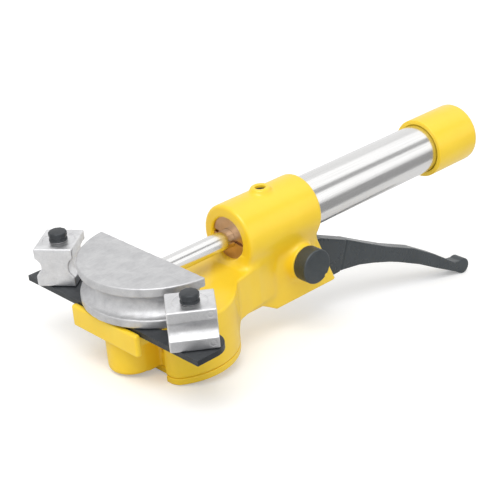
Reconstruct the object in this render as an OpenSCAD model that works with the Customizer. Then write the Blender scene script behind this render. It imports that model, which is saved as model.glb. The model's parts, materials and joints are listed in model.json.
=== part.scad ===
// Hand-held ratchet tube bender with a crossbar, a half-round former and two side formers.
//
// Every piece is drawn in the tool's own axes: the push rod lies along X with its axis at
// y = 0 and z = 0, the former's bending centre is the origin, and the handle points to +X.
// placed() then stands the whole tool on the floor, nose down, on the front edge of its
// foot and the tip of its lever, with the floor at z = 0 and the box centred on Z.

/* [Tube and former] */
// Outside diameter of the tube that the former bends
tube_d = 22; // [18:0.5:24]
// Bending radius, to the middle of the tube
bend_r = 74; // [64:1:90]
// Clearance of the groove round the tube
tube_clear = 0.2; // [0.1:0.05:0.5]
// Distance of the former's flanges inside the tube's centre line
flange_drop = 1.7; // [1:0.1:3]
// Height of the former
former_h = 38.5; // [34:0.5:48]
// Distance of the former's flat back in front of the bending centre
former_back = 7.3; // [4:0.1:12]
// Depth of the socket for the rod in the former
socket_depth = 33.5; // [20:0.5:40]

/* [Side formers and pins] */
// Length of a side former along the tube
side_len = 42; // [34:1:54]
// Depth of a side former across the tube
side_deep = 36; // [32:1:44]
// Height of a side former
side_h = 37.3; // [32:0.1:46]
// Depth of the tube groove in a side former
side_groove = 5.1; // [4:0.1:7]
// Diameter of the smaller tube that the outer groove fits
outer_tube_d = 18.4; // [14:0.2:20]
// Depth of the outer groove
outer_groove = 5.4; // [3:0.1:7]
// Gap between the former and the circle that a side former turns in
swing_gap = 0.8; // [0.4:0.1:3]
// Angle of each pin ahead of the bending centre
pin_angle = 24.3; // [18:0.1:30]
// Diameter of a pin
pin_d = 12; // [8:0.5:16]
// Diameter of a pin's head
pin_head_d = 17; // [14:0.5:24]
// Play between a pin and what it passes through, in radius
pin_play = 0.1; // [0.05:0.01:0.3]

/* [Crossbar] */
// Width of the crossbar along the tool
bar_w = 41; // [32:1:52]
// Thickness of the crossbar
bar_t = 5.2; // [4:0.1:8]
// Length of the crossbar beyond each pin
bar_over = 27.7; // [18:0.1:36]
// Gap between the former and the crossbar that it slides over
bar_gap = 0.3; // [0.2:0.05:1]
// Distance between the spare pin hole and the pin
spare_pitch = 37.3; // [30:0.1:44]

/* [Casting] */
// Half width of the foot
foot_half = 64.4; // [60:0.2:72]
// Radius of the foot's round sides
foot_round = 58.4; // [52:0.2:60]
// Middle of the foot behind the bending centre
foot_mid = 4; // [0:1:10]
// Front edge of the foot behind the bending centre, negative ahead of it
foot_front = -35; // [-45:1:-30]
// Height of the rod's axis above the sole
axis_height = 84; // [76:1:100]
// Thickness of the plate that closes the foot
plate_t = 6.5; // [4:0.5:8]
// Half width of the spine that joins the foot to the lever cheeks
spine_half = 19; // [16:0.5:24]
// Play on each side of the lever between the cheeks
cheek_play = 0.4; // [0.3:0.05:1]
// Front face of the barrel housing behind the bending centre
housing_front = 80; // [74:1:90]
// Length of the barrel housing
housing_len = 92; // [86:1:110]
// Wall of the housing round the barrel
housing_wall = 7; // [5:0.5:10]

/* [Barrel, cap and rod] */
// Outside diameter of the barrel
barrel_d = 50; // [46:1:60]
// Wall of the barrel
barrel_wall = 3; // [2:0.25:5]
// Rear face of the barrel behind the bending centre
barrel_end = 394; // [380:1:430]
// Length of the end cap
cap_len = 58; // [40:1:70]
// Wall of the end cap round the barrel
cap_wall = 5; // [3:0.5:8]
// Thickness of the end cap's closed end
cap_end = 6; // [4:0.5:10]
// Diameter of the push rod
rod_d = 18; // [16:0.5:22]
// Length of the push rod
rod_len = 342; // [320:1:350]
// Play of the rod in its bush, in radius
rod_play = 0.08; // [0.03:0.01:0.15]
// Outside diameter of the front bush
bush_d = 41; // [34:0.5:44]
// Length of the front bush
bush_len = 18; // [12:0.5:18]
// Pitch of the rack under the rod
rack_pitch = 6; // [5:0.5:8]
// Depth of a rack tooth
rack_depth = 2.4; // [1.5:0.1:2.8]
// Width of the rack
rack_w = 6; // [5:0.5:8]

/* [Lever, pawls and knob] */
// Width of the lever
lever_w = 16; // [14:0.5:20]
// Width of the slot in the lever's upper arm
fork_slot = 7.4; // [7:0.1:9]
// Diameter of the lever's pin
lever_pin_d = 10; // [8:0.5:12]
// Length of the lever's upper arm, from its pin to the feed pawl's pin
arm_len = 46; // [44:0.5:48]
// Angle of the upper arm behind upright when the lever is open
arm_lean = 12.5; // [10:0.5:14]
// Thickness of a pawl
pawl_t = 5.4; // [4:0.1:6.5]
// Diameter of the pawl pins
pawl_pin_d = 6; // [5:0.5:6.5]
// Angle that the released holding pawl stands down from the rack
pawl_drop = 7; // [6:0.5:8]
// Diameter of the release knob
knob_d = 34; // [28:1:40]
// Thickness of the release knob
knob_t = 15; // [10:0.5:20]
// Length of the boss that carries the knob, out from the spine
knob_boss = 14; // [8:0.5:20]
// Diameter of the knob's cam shaft
cam_d = 12; // [11:0.5:13]

/* [Hidden] */
$fn = 64;

// Colours of the finishes
paint = "gold";
cast_metal = "silver";
steel = "gainsboro";
black_metal = "dimgray";
bronze = "peru";
rubber = "darkslategray";

eps = 0.5;              // how far a cut runs past a face
seat = 0.3;             // gap between two pieces that move past each other
trim = 0.05;            // gap round a screw or dowel in its own hole

// Former and side formers
groove_r = tube_d / 2 + tube_clear;
flange_r = bend_r - flange_drop;
former_z = -former_h / 2 + 0.25;                    // the former's underside
bar_top = former_z - bar_gap;
deck_z = bar_top - bar_t;                           // top of the casting's deck
side_corner = norm([side_len, side_deep]) / 2;      // radius that a side former sweeps
pin_reach = flange_r + swing_gap + side_corner;
pin_x = -pin_reach * sin(pin_angle);
pin_y = pin_reach * cos(pin_angle);
groove_off = side_deep / 2 + groove_r - side_groove; // groove's centre from the pin
side_turn = pin_angle + acos(min(1, (bend_r + groove_off) / pin_reach));
side_z = bar_top + seat;
ring_r = 15;                                        // counterbore round a pin
ring_deep = 0.8;
head_z = side_z + side_h - ring_deep + seat;        // underside of a pin's collar
pin_end = deck_z - 4;

// Crossbar and the casting's front
bar_half = pin_y + bar_over;
bar_corner = 20;
spare_y = pin_y - spare_pitch;
bar_screw_y = 14;
bar_dowel_y = 34;
lip_t = 6;
lip_half = 44;
lip_h = 3;
slab_front = pin_x - bar_w / 2 - seat - lip_t;
slab_half = 46;
slab_t = 18;
rest_half = 41;                                     // the ledge under the crossbar
rest_t = 12;
nose_r = 22;
nose_ease = 3;

// Foot
sole_z = -axis_height;
plate_z = sole_z + plate_t;
nose_z = plate_z;
recess = 8;                                         // how far the foot stands back beside the nose
recess_half = 38;
pocket = [foot_front + recess + 6, foot_mid + 30];  // the foot's pockets, from front to back
pocket_half = foot_half - 16.4;
foot_rib = 12;
post_r = 6;
post_x = [pocket[0] + 1, pocket[1] - 8];
post_y = pocket_half - 8;
screw_r = 3;
deck_t = 12;
neck_z = deck_z - 41;                               // underside of the neck between foot and housing
arch_z = deck_z - 48.5;                             // underside of the spine behind the foot
arch_back = 118;
spine_rear = 197;                                   // rear corner of the cheeks, at the sole

// Housing and barrel
barrel_r = barrel_d / 2;
barrel_bore = barrel_r - barrel_wall;
housing_r = barrel_r + housing_wall;
housing_back = housing_front + housing_len;
barrel_front = housing_back - 20;
cap_r = barrel_r + cap_wall;
cap_round = 4;
cap_back = barrel_end + cap_end;
rod_r = rod_d / 2;
rod_front = -former_back - socket_depth + 1;
rod_back = rod_front + rod_len;
bush_x = housing_front + 2;
bush_end = bush_x + bush_len;
way_r = rod_r + 0.6;                                // the rod's way through the casting
grub_x = barrel_front + 10;
brake_x = 125;
brake_boss_r = 9.5;
brake_boss_z = housing_r + 4;
brake_r = 5;

// Rack and pawls: an engaged tip stands tip_gap behind the face of its tooth
rack_start = 30;
rack_teeth = 22;
tip_gap = 1;
tip_z = -rod_r + rack_depth * (1 - tip_gap / rack_pitch) - 0.3;
tip_arm = [-21, 8.5];                               // tip from the pawl's pin, engaged
pawl_boss = 5;
hold_tooth = 12;                                    // tooth that the holding pawl faces
hold_x = rack_start + hold_tooth * rack_pitch + tip_gap - tip_arm[0];
hold_z = tip_z - tip_arm[1];
tail_t = 4.3;

// Lever: its pin, and the open lever's upper arm
lever_x = 168;
lever_z = -62;
feed_x = lever_x + arm_len * sin(arm_lean);
feed_z = lever_z + arm_len * cos(arm_lean);
feed_drop = 3.5;                                    // rest angle of the feed pawl
fork_r = 6;
lever_boss = 13;
coil_room = 10.5;
tip_x = 401;                                        // centre of the lever's round end
tip_h = -156;
tip_r = 8.5;
slot_half = lever_w / 2 + cheek_play;
mouth_x = 152;                                      // the cheek slot is open below behind here

// Knob and cam
cam_x = 145.6;
cam_z = -40.5;
cam_r = cam_d / 2;
cam_flat = 2.8;
cam_turn = 155;                                     // direction of the flat when released
knob_y = -spine_half - knob_boss;
tail_r = 3;

// Stance: the foot's front edge and the lever's round end touch the floor together
stance_run = [tip_x - foot_front, sole_z - tip_h];
stance = atan2(stance_run[1], stance_run[0]) + asin(tip_r / norm(stance_run));
floor_z = foot_front * sin(stance) + sole_z * cos(stance);
nose_x = -flange_r * cos(stance) - (former_z + former_h) * sin(stance);
tail_x = tip_x * cos(stance) - tip_h * sin(stance) + tip_r;

// Turns the tool's axes into the standing frame
module placed() {
  translate([-(nose_x + tail_x) / 2, 0, -floor_z]) rotate([0, -stance, 0]) children();
}

// A bar along X between two faces
module along_x(from, to, r) {
  translate([from, 0, 0]) rotate([0, 90, 0]) cylinder(r = r, h = to - from);
}

// A bar along Y through the point x, z
module along_y(x, z, from, to, r) {
  translate([x, to, z]) rotate([90, 0, 0]) cylinder(r = r, h = to - from);
}

// A plate whose outline is drawn in X and Z
module side_plate(from, to) {
  translate([0, to, 0]) rotate([90, 0, 0]) linear_extrude(to - from) children();
}

// A block between two corners
module block(low, high) {
  translate(low) cube(high - low);
}

// The same piece on both sides of the tool
module both_sides() {
  children();
  mirror([0, 1, 0]) children();
}

// A torus round X
module ring_x(x, major, minor) {
  translate([x, 0, 0]) rotate([0, 90, 0]) rotate_extrude() translate([major, 0]) circle(minor);
}

// Points of one ring of a coil's wire
function coil_ring(turn, rise, major, wire) = [
  for (side = [0:7])
    let (out = major + wire * cos(side * 45))
    [out * cos(turn), out * sin(turn), rise + wire * sin(side * 45)]
];

// A coil spring standing on z = 0
module coil(major, wire, turns, height) {
  steps = ceil(turns * 18);
  rings = [for (i = [0:steps]) each coil_ring(
    360 * turns * i / steps, wire + (height - 2 * wire) * i / steps, major, wire)];
  sides = [for (i = [0:steps - 1], s = [0:7])
    [i * 8 + (s + 1) % 8, (i + 1) * 8 + (s + 1) % 8, (i + 1) * 8 + s, i * 8 + s]];
  first = [for (s = [7:-1:0]) s];
  last = [for (s = [0:7]) steps * 8 + s];
  polyhedron(rings, concat(sides, [first, last]));
}

// A layer of the foot: round at the sides and behind, straight in front
module foot_layer(from, to) {
  shift = foot_half - foot_round;
  difference() {
    translate([0, 0, from]) linear_extrude(to - from) {
      for (y = [-shift, shift]) translate([foot_mid, y]) circle(r = foot_round);
      translate([foot_mid - foot_round, -shift]) square([2 * foot_round, 2 * shift]);
    }
    block([foot_mid - foot_round - eps, -foot_half - eps, from - eps],
          [foot_front, foot_half + eps, to + eps]);
  }
}

// Outline of the neck seen from above, narrowing from the foot to the housing
module neck_outline() {
  polygon([
    [foot_mid + 16, -45], [foot_mid + 42, -41.5], [foot_mid + 54, -34.6], [foot_mid + 75, -29],
    [foot_mid + 88, -26.5], [foot_mid + 108, -18], [foot_mid + 108, 18], [foot_mid + 88, 26.5],
    [foot_mid + 75, 29], [foot_mid + 54, 34.6], [foot_mid + 42, 41.5], [foot_mid + 16, 45]
  ]);
}

// Outline of the spine and cheeks seen from the side
module spine_outline() {
  polygon([
    [foot_front + 15, deck_z], [housing_front, deck_z], [housing_front, -15],
    [housing_back, -15], [housing_back, -22], [spine_rear, sole_z], [arch_back, sole_z],
    [arch_back - 18, arch_z], [foot_front + 15, arch_z]
  ]);
}

module casting_solid() {
  along_x(housing_front, housing_back, housing_r);
  translate([brake_x, 0, 0]) cylinder(r = brake_boss_r, h = brake_boss_z);
  along_y(cam_x, cam_z, knob_y, 0, knob_d / 2);
  foot_layer(plate_z, deck_z);
  translate([0, 0, neck_z]) linear_extrude(deck_z - neck_z) neck_outline();
  side_plate(-spine_half, spine_half) spine_outline();
  block([slab_front, -slab_half, deck_z - slab_t], [slab_front + lip_t, slab_half, deck_z]);
  block([slab_front, -lip_half, deck_z - eps], [slab_front + lip_t, lip_half, deck_z + lip_h]);
  block([slab_front + 1, -rest_half, deck_z - rest_t], [foot_front + eps, rest_half, deck_z]);
  translate([pin_x, 0, nose_z]) cylinder(r1 = nose_r - nose_ease, r2 = nose_r, h = nose_ease);
  translate([pin_x, 0, nose_z + nose_ease]) cylinder(r = nose_r, h = deck_z - nose_z - nose_ease);
  block([pin_x, -nose_r, nose_z], [foot_front + eps, nose_r, deck_z]);
}

// The two pockets under the deck, with a post in each corner for a screw
module foot_pockets() {
  both_sides() difference() {
    block([pocket[0], foot_rib, plate_z - eps], [pocket[1], pocket_half, deck_z - deck_t]);
    for (x = post_x)
      block([x - post_r, post_y - post_r, plate_z - 2 * eps],
            [x + post_r, foot_half, deck_z - deck_t + eps]);
  }
}

// The foot stands back on each side of the nose, where a hole drains its pocket
module foot_recesses() {
  both_sides() {
    block([foot_front - eps, nose_r, plate_z - eps],
          [foot_front + recess, recess_half, deck_z - slab_t - 2.5]);
    translate([foot_front + recess - eps, nose_r + 4, deck_z - 35.5])
      rotate([0, 90, 0]) cylinder(r = 2.2, h = 6 + 2 * eps);
  }
}

// The slot for the lever and pawls, with a ledge in front for the holding pawl's spring
module lever_slot() {
  block([bush_end, -slot_half, -30], [mouth_x, slot_half, -5]);
  block([118, -slot_half, -50], [mouth_x + eps, slot_half, -5]);
  block([mouth_x, -slot_half, sole_z - eps], [spine_rear + 20, slot_half, -5]);
}

module body_casting() {
  color(paint) placed() difference() {
    casting_solid();
    foot_pockets();
    foot_recesses();
    lever_slot();
    along_x(housing_front - eps, bush_end, bush_d / 2);
    along_x(bush_end - eps, barrel_front + eps, way_r);
    along_x(barrel_front, spine_rear, barrel_r);
    translate([brake_x, 0, 0]) cylinder(r = brake_r, h = brake_boss_z + eps);
    along_y(cam_x, cam_z, knob_y - eps, spine_half + eps, cam_r + trim);
    along_y(lever_x, lever_z, -spine_half - eps, spine_half + eps, lever_pin_d / 2 + trim);
    along_y(hold_x, hold_z, -spine_half, housing_r, pawl_pin_d / 2);
    along_y(grub_x, 0, barrel_r - 1, housing_r + eps, screw_r);
    for (x = post_x, y = [-post_y, post_y])
      translate([x, y, plate_z - eps]) cylinder(r = screw_r, h = 14);
    for (y = [-bar_screw_y, bar_screw_y])
      translate([pin_x, y, deck_z - 18]) cylinder(r = 4, h = 18 + eps);
    for (y = [-bar_dowel_y, bar_dowel_y])
      translate([pin_x, y, deck_z - 10]) cylinder(r = 3, h = 10 + eps);
  }
}

module foot_plate() {
  color(paint) placed() difference() {
    foot_layer(sole_z, plate_z);
    block([foot_front - eps, -recess_half, sole_z - eps], [foot_front + recess, recess_half, plate_z + eps]);
    for (x = post_x, y = [-post_y, post_y]) translate([x, y, sole_z]) {
      translate([0, 0, -eps]) cylinder(r = screw_r + trim, h = plate_t + 2 * eps);
      translate([0, 0, -eps]) cylinder(r = 5.5, h = 4 + eps);
    }
  }
}

// Four cap screws, sunk into the foot plate
module foot_plate_screws() {
  color(black_metal) placed() for (x = post_x, y = [-post_y, post_y])
    translate([x, y, sole_z]) difference() {
      union() {
        translate([0, 0, 4]) cylinder(r = screw_r - trim, h = plate_t + 8);
        translate([0, 0, 0.5]) cylinder(r = 5.2, h = 3.5);
      }
      translate([0, 0, 0]) cylinder(r = 2.4, h = 2.5, $fn = 6);
    }
}

module barrel_tube() {
  color(steel) placed() difference() {
    along_x(barrel_front, barrel_end, barrel_r);
    along_x(barrel_front - eps, barrel_end + eps, barrel_bore);
    block([barrel_front - eps, -slot_half, -barrel_r - eps],
          [feed_x + fork_r + 5, slot_half, -5]);
    along_y(grub_x, 0, 0, barrel_r + eps, screw_r);
  }
}

// The screw that holds the barrel in its housing, on the left
module barrel_grub_screw() {
  color(black_metal) placed() difference() {
    along_y(grub_x, 0, barrel_bore + 0.3, housing_r - 1, screw_r - trim);
    along_y(grub_x, 0, housing_r - 4, housing_r, 1.6);
  }
}

module end_cap() {
  front = cap_back - cap_len;
  color(paint) placed() difference() {
    union() {
      along_x(front, cap_back - cap_round, cap_r);
      along_x(front, cap_back, cap_r - cap_round);
      ring_x(cap_back - cap_round, cap_r - cap_round, cap_round);
    }
    along_x(front - eps, barrel_end, barrel_r);
    rotate([20, 0, 0]) block([front - eps, -1.2, barrel_r - eps], [front + 1.5, 1.2, cap_r + eps]);
  }
}

// The bronze bush that guides the rod, with a spanner slot across its face
module front_bush() {
  slot_w = 3.4;
  color(bronze) placed() difference() {
    along_x(bush_x, bush_end, bush_d / 2);
    along_x(bush_x - eps, bush_end + eps, rod_r + rod_play);
    along_x(bush_x + 6, bush_x + 8.6, rod_r + 2.4);
    rotate([8, 0, 0]) block([bush_x - eps, -bush_d, -slot_w / 2], [bush_x + 3, bush_d, slot_w / 2]);
  }
}

module rod_wiper() {
  color(rubber) placed() difference() {
    along_x(bush_x + 6.1, bush_x + 8.5, rod_r + 2.3);
    along_x(bush_x, bush_x + 10, rod_r + rod_play);
  }
}

// The pad that a spring presses on the rod, so that it stays where it is pushed
module brake_pad() {
  color(bronze) placed() difference() {
    translate([brake_x, 0, rod_r - 3]) cylinder(r = brake_r - 0.15, h = 8);
    along_x(brake_x - 10, brake_x + 10, rod_r + rod_play + 0.1);
  }
}

module brake_spring() {
  foot_z = rod_r + 5 + 0.1;
  color(steel) placed() translate([brake_x, 0, foot_z])
    coil(3.3, 0.6, 4, brake_boss_z - 12.1 - foot_z);
}

module brake_screw() {
  color(black_metal) placed() translate([brake_x, 0, brake_boss_z - 12]) difference() {
    cylinder(r = brake_r - trim, h = 9);
    translate([0, 0, 4]) cylinder(r = 2.9, h = 6, $fn = 6);
  }
}

module crossbar() {
  color(black_metal) placed() translate([pin_x, 0, deck_z]) difference() {
    linear_extrude(bar_t) {
      translate([-bar_w / 2, -bar_half]) square([bar_w - bar_corner, 2 * bar_half]);
      translate([-bar_w / 2, -bar_half + bar_corner]) square([bar_w, 2 * (bar_half - bar_corner)]);
      for (y = [-bar_half + bar_corner, bar_half - bar_corner])
        translate([bar_w / 2 - bar_corner, y]) circle(bar_corner);
    }
    for (y = [-pin_y, -spare_y, spare_y, pin_y])
      translate([0, y, -eps]) cylinder(r = pin_d / 2 + pin_play, h = bar_t + 2 * eps);
    for (y = [-bar_dowel_y, bar_dowel_y])
      translate([0, y, -eps]) cylinder(r = 3, h = bar_t + 2 * eps);
    for (y = [-bar_screw_y, bar_screw_y]) translate([0, y, 0]) {
      translate([0, 0, -eps]) cylinder(r = 4 + trim, h = bar_t + 2 * eps);
      translate([0, 0, bar_t - 4.2]) cylinder(r1 = 4, r2 = 8.2, h = 4.2 + 0.01);
    }
  }
}

// Two countersunk screws, their heads just under the crossbar's top
module crossbar_screws() {
  color(steel) placed() for (y = [-bar_screw_y, bar_screw_y])
    translate([pin_x, y, deck_z]) difference() {
      union() {
        translate([0, 0, -16]) cylinder(r = 4 - trim, h = 16 + bar_t - 4.2);
        translate([0, 0, bar_t - 4.2]) cylinder(r1 = 4 - trim, r2 = 7.9 - trim, h = 3.9);
      }
      translate([0, 0, bar_t - 3.3]) cylinder(r = 2.6, h = 4, $fn = 6);
    }
}

module crossbar_dowels() {
  color(steel) placed() for (y = [-bar_dowel_y, bar_dowel_y])
    translate([pin_x, y, deck_z - 9.5]) cylinder(r = 3 - trim, h = 9.5 + bar_t - 0.3);
}

// Saw teeth: each face looks back, so that a pawl behind it pushes the rod forward
module rack_cut() {
  last = rack_start + rack_teeth * rack_pitch;
  side_plate(-rack_w / 2, rack_w / 2) polygon([
    [rack_start, -rod_r - eps],
    for (i = [0:rack_teeth - 1]) each [
      [rack_start + i * rack_pitch, -rod_r + rack_depth],
      [rack_start + (i + 1) * rack_pitch - 0.01, -rod_r]
    ],
    [last, -rod_r - eps]
  ]);
}

module push_rod() {
  color(steel) placed() difference() {
    union() {
      along_x(rod_front + 1, rod_back - 14, rod_r);
      translate([rod_front, 0, 0]) rotate([0, 90, 0]) cylinder(r1 = rod_r - 1, r2 = rod_r, h = 1);
      along_x(rod_back - 14, rod_back, 6);
    }
    rack_cut();
    translate([rod_front + 12, 0, 0]) rotate([0, 90, 0]) difference() {
      cylinder(r = rod_r + eps, h = 2.4);
      translate([0, 0, -eps]) cylinder(r = rod_r - 2, h = 2.4 + 2 * eps);
    }
  }
}

// The rubber ring in the rod's groove that grips the former
module former_retaining_ring() {
  color(rubber) placed() ring_x(rod_front + 13.2, rod_r - 0.95, 1.0);
}

module rod_guide_ring() {
  color(bronze) placed() difference() {
    along_x(rod_back - 13.9, rod_back - 7, barrel_bore - seat);
    along_x(rod_back - 15, rod_back, 6 + trim);
  }
}

module rod_end_nut() {
  color(black_metal) placed() difference() {
    translate([rod_back - 6.9, 0, 0]) rotate([0, 90, 0]) cylinder(r = 11, h = 6, $fn = 6);
    along_x(rod_back - 10, rod_back + 1, 6 + trim);
  }
}

// The half-round former that bends the tube round its groove
module bending_former() {
  color(cast_metal) placed() difference() {
    translate([0, 0, former_z]) cylinder(r = flange_r, h = former_h, $fn = 160);
    rotate_extrude($fn = 160) translate([bend_r, 0]) circle(groove_r);
    translate([-former_back, -flange_r - eps, former_z - eps])
      cube([2 * flange_r, 2 * flange_r + 2 * eps, former_h + 2 * eps]);
    along_x(-former_back - socket_depth, 0, rod_r + trim);
  }
}

// A side former as it stands on its pin, with its tube groove towards -Y
module side_former() {
  difference() {
    block([-side_len / 2, -side_deep / 2, side_z], [side_len / 2, side_deep / 2, side_z + side_h]);
    translate([-side_len / 2 - eps, -groove_off, 0]) rotate([0, 90, 0])
      cylinder(r = groove_r, h = side_len + 2 * eps);
    translate([-side_len / 2 - eps, side_deep / 2 + outer_tube_d / 2 - outer_groove, 0])
      rotate([0, 90, 0]) cylinder(r = outer_tube_d / 2, h = side_len + 2 * eps);
    translate([0, 0, side_z - eps]) cylinder(r = pin_d / 2 + pin_play, h = side_h + 2 * eps);
    translate([0, 0, side_z + side_h - ring_deep]) cylinder(r = ring_r, h = 2 * ring_deep);
  }
}

module side_former_left() {
  color(cast_metal) placed() translate([pin_x, pin_y, 0]) rotate([0, 0, side_turn]) side_former();
}

module side_former_right() {
  color(cast_metal) placed() mirror([0, 1, 0])
    translate([pin_x, pin_y, 0]) rotate([0, 0, side_turn]) side_former();
}

// A pin with a collar, a waist and a head to pull it by, and a groove for its ring
module pin() {
  groove_z = pin_end + 1.6;
  difference() {
    union() {
      translate([0, 0, pin_end]) cylinder(r1 = pin_d / 2 - 1, r2 = pin_d / 2, h = 1);
      translate([0, 0, pin_end + 1]) cylinder(r = pin_d / 2, h = head_z - pin_end + 7);
      translate([0, 0, head_z]) cylinder(r = pin_head_d / 2, h = 2);
      translate([0, 0, head_z + 3.5]) cylinder(r = pin_head_d / 2, h = 4.6);
      translate([0, 0, head_z + 8.1]) cylinder(r1 = pin_head_d / 2, r2 = pin_head_d / 2 - 0.8, h = 0.8);
    }
    translate([0, 0, groove_z]) difference() {
      cylinder(r = pin_d / 2 + eps, h = 1.4);
      translate([0, 0, -eps]) cylinder(r = pin_d / 2 - 1, h = 1.4 + 2 * eps);
    }
  }
}

module pin_left() {
  color(black_metal) placed() translate([pin_x, pin_y, 0]) pin();
}

module pin_right() {
  color(black_metal) placed() translate([pin_x, -pin_y, 0]) pin();
}

module pin_ring() {
  translate([0, 0, pin_end + 2.3]) rotate_extrude() translate([pin_d / 2 - 0.5, 0]) circle(0.5);
}

module pin_ring_left() {
  color(rubber) placed() translate([pin_x, pin_y, 0]) pin_ring();
}

module pin_ring_right() {
  color(rubber) placed() translate([pin_x, -pin_y, 0]) pin_ring();
}

// Side view of the grip part of the lever, from the cheeks to its round end
module lever_outline() {
  neck_r = tip_r - 0.7;
  polygon([
    [lever_x - 9, lever_z + 10], [lever_x + 8, lever_z + 24], [194, -42], [231, -58.5],
    [258, -73], [286, -87.5], [325, -105], [356, -124], [388, -146.5],
    [tip_x + neck_r * sin(37), tip_h + neck_r * cos(37)],
    [tip_x - neck_r * sin(37), tip_h - neck_r * cos(37)],
    [359, -142], [331, -126], [300, -111], [286, -105], [262, -96.5], [242, -90.5],
    [218, -86.5], [206, -87], [lever_x + 12, lever_z - 14], [lever_x - 4, lever_z - 12]
  ]);
}

module lever() {
  half = lever_w / 2;
  color(black_metal) placed() difference() {
    union() {
      side_plate(-half, half) lever_outline();
      along_y(tip_x, tip_h, -half, half, tip_r);
      along_y(lever_x, lever_z, -half, half, lever_boss);
      translate([lever_x, 0, lever_z]) rotate([0, arm_lean, 0])
        block([-fork_r, -half, 0], [fork_r, half, arm_len]);
      along_y(feed_x, feed_z, -half, half, fork_r + 0.5);
    }
    // Slot for the feed pawl, above a web
    translate([lever_x, 0, lever_z]) rotate([0, arm_lean, 0])
      block([-20, -fork_slot / 2, 27], [20, fork_slot / 2, arm_len + 10]);
    // Room for the spring round the pin, open in front
    along_y(lever_x, lever_z, -fork_slot / 2, fork_slot / 2, coil_room);
    block([lever_x - 20, -fork_slot / 2, lever_z - coil_room + 0.6], [lever_x, fork_slot / 2, lever_z]);
    along_y(lever_x, lever_z, -half - eps, half + eps, lever_pin_d / 2 + 0.1);
    along_y(feed_x, feed_z, -half - eps, half + eps, pawl_pin_d / 2);
  }
}

module lever_pin() {
  length = spine_half + 3;
  color(steel) placed() difference() {
    along_y(lever_x, lever_z, -length, length, lever_pin_d / 2);
    for (y = [-spine_half - 1.5, spine_half + 0.1]) difference() {
      along_y(lever_x, lever_z, y, y + 1.4, lever_pin_d);
      along_y(lever_x, lever_z, y - eps, y + 2, lever_pin_d / 2 - 0.8);
    }
  }
}

// A circlip round a shaft along Y, with its gap towards -X
module circlip(x, z, y, shaft_r) {
  difference() {
    along_y(x, z, y, y + 1.2, shaft_r + 2);
    along_y(x, z, y - eps, y + 2, shaft_r - 0.7);
    block([x - shaft_r - 5, y - eps, z - 2.5], [x, y + 2, z + 2.5]);
  }
}

module lever_pin_circlips() {
  color(black_metal) placed() for (y = [-spine_half - 1.4, spine_half + 0.2])
    circlip(lever_x, lever_z, y, lever_pin_d / 2);
}

// The torsion spring that opens the lever; its leg leans on the casting
module lever_spring() {
  wire = 1.1;
  major = coil_room - wire - 1;
  leg_z = lever_z - major;
  color(steel) placed() {
    translate([lever_x, fork_slot / 2 - 0.3, lever_z]) rotate([90, 90, 0])
      coil(major, wire, 1.5, fork_slot - 0.6);
    translate([mouth_x + seat, fork_slot / 2 - 0.3 - wire, leg_z]) rotate([0, 90, 0])
      cylinder(r = wire, h = lever_x - mouth_x - seat);
  }
}

// A pawl's boss and arm in its engaged position, drawn from its pin
module pawl_arm() {
  along_y(0, 0, -pawl_t / 2, pawl_t / 2, pawl_boss);
  side_plate(-pawl_t / 2, pawl_t / 2) polygon([
    tip_arm, tip_arm + [6.5, -2.6], [-1, 4], [-1, -4], tip_arm + [4, -7.5], tip_arm + [0, -4.5]
  ]);
}

module feed_pawl() {
  color(black_metal) placed() translate([feed_x, 0, feed_z]) rotate([0, -feed_drop, 0]) difference() {
    union() {
      pawl_arm();
    }
    along_y(0, 0, -pawl_t, pawl_t, pawl_pin_d / 2 + 0.1);
  }
}

module feed_pawl_pin() {
  color(steel) placed()
    along_y(feed_x, feed_z, -lever_w / 2 + 0.2, lever_w / 2 - 0.2, pawl_pin_d / 2);
}

// A small spring between the lever's web and the feed pawl
module feed_pawl_spring() {
  color(steel) placed() translate([lever_x, 0, lever_z]) rotate([0, arm_lean, 0])
    translate([-4.2, 0, 27.1]) coil(1.9, 0.45, 5, 14);
}

// The holding pawl, with a tail on its left that the cam lifts
module hold_pawl() {
  tail_end = [cam_x - hold_x, cam_z + cam_r + seat + tail_r - hold_z];
  reach = norm(tail_end);
  dip = -atan2(tail_end[1], tail_end[0]);
  color(black_metal) placed() translate([hold_x, 0, hold_z]) difference() {
    union() {
      rotate([0, -pawl_drop, 0]) pawl_arm();
      along_y(0, 0, -slot_half + 0.4, slot_half - 0.4, pawl_boss);
      rotate([0, dip, 0])
        block([0, pawl_t / 2 + 0.6, 0.5 - tail_r], [reach, pawl_t / 2 + tail_t - 0.2, tail_r - 0.5]);
      along_y(tail_end[0], tail_end[1], pawl_t / 2 + 0.6, pawl_t / 2 + tail_t, tail_r);
    }
    along_y(0, 0, -slot_half - eps, slot_half + eps, pawl_pin_d / 2 + 0.1);
  }
}

module hold_pawl_pin() {
  color(steel) placed() along_y(hold_x, hold_z, -spine_half + 0.3, spine_half + 4, pawl_pin_d / 2 - 0.01);
}

// The spring that lifts the holding pawl, standing on the ledge in the casting
module hold_pawl_spring() {
  color(steel) placed() translate([hold_x - 12, 0, -29.9]) coil(2.4, 0.5, 5, 10.8);
}

// The release knob, with an index notch in its rim
module release_knob() {
  r = knob_d / 2;
  color(black_metal) placed() difference() {
    union() {
      along_y(cam_x, cam_z, knob_y - seat - knob_t + 1.5, knob_y - seat, r);
      translate([cam_x, knob_y - seat - knob_t + 1.5, cam_z]) rotate([90, 0, 0])
        cylinder(r1 = r, r2 = r - 1.5, h = 1.5);
    }
    along_y(cam_x, cam_z, knob_y - knob_t + 2, knob_y, cam_r + trim);
    along_y(cam_x + r * sin(40), cam_z - r * cos(40), knob_y - knob_t - 1, knob_y - knob_t + 6, 1.8);
    translate([cam_x, knob_y - 6, cam_z - r - eps]) cylinder(r = 2.5, h = r);
  }
}

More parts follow.
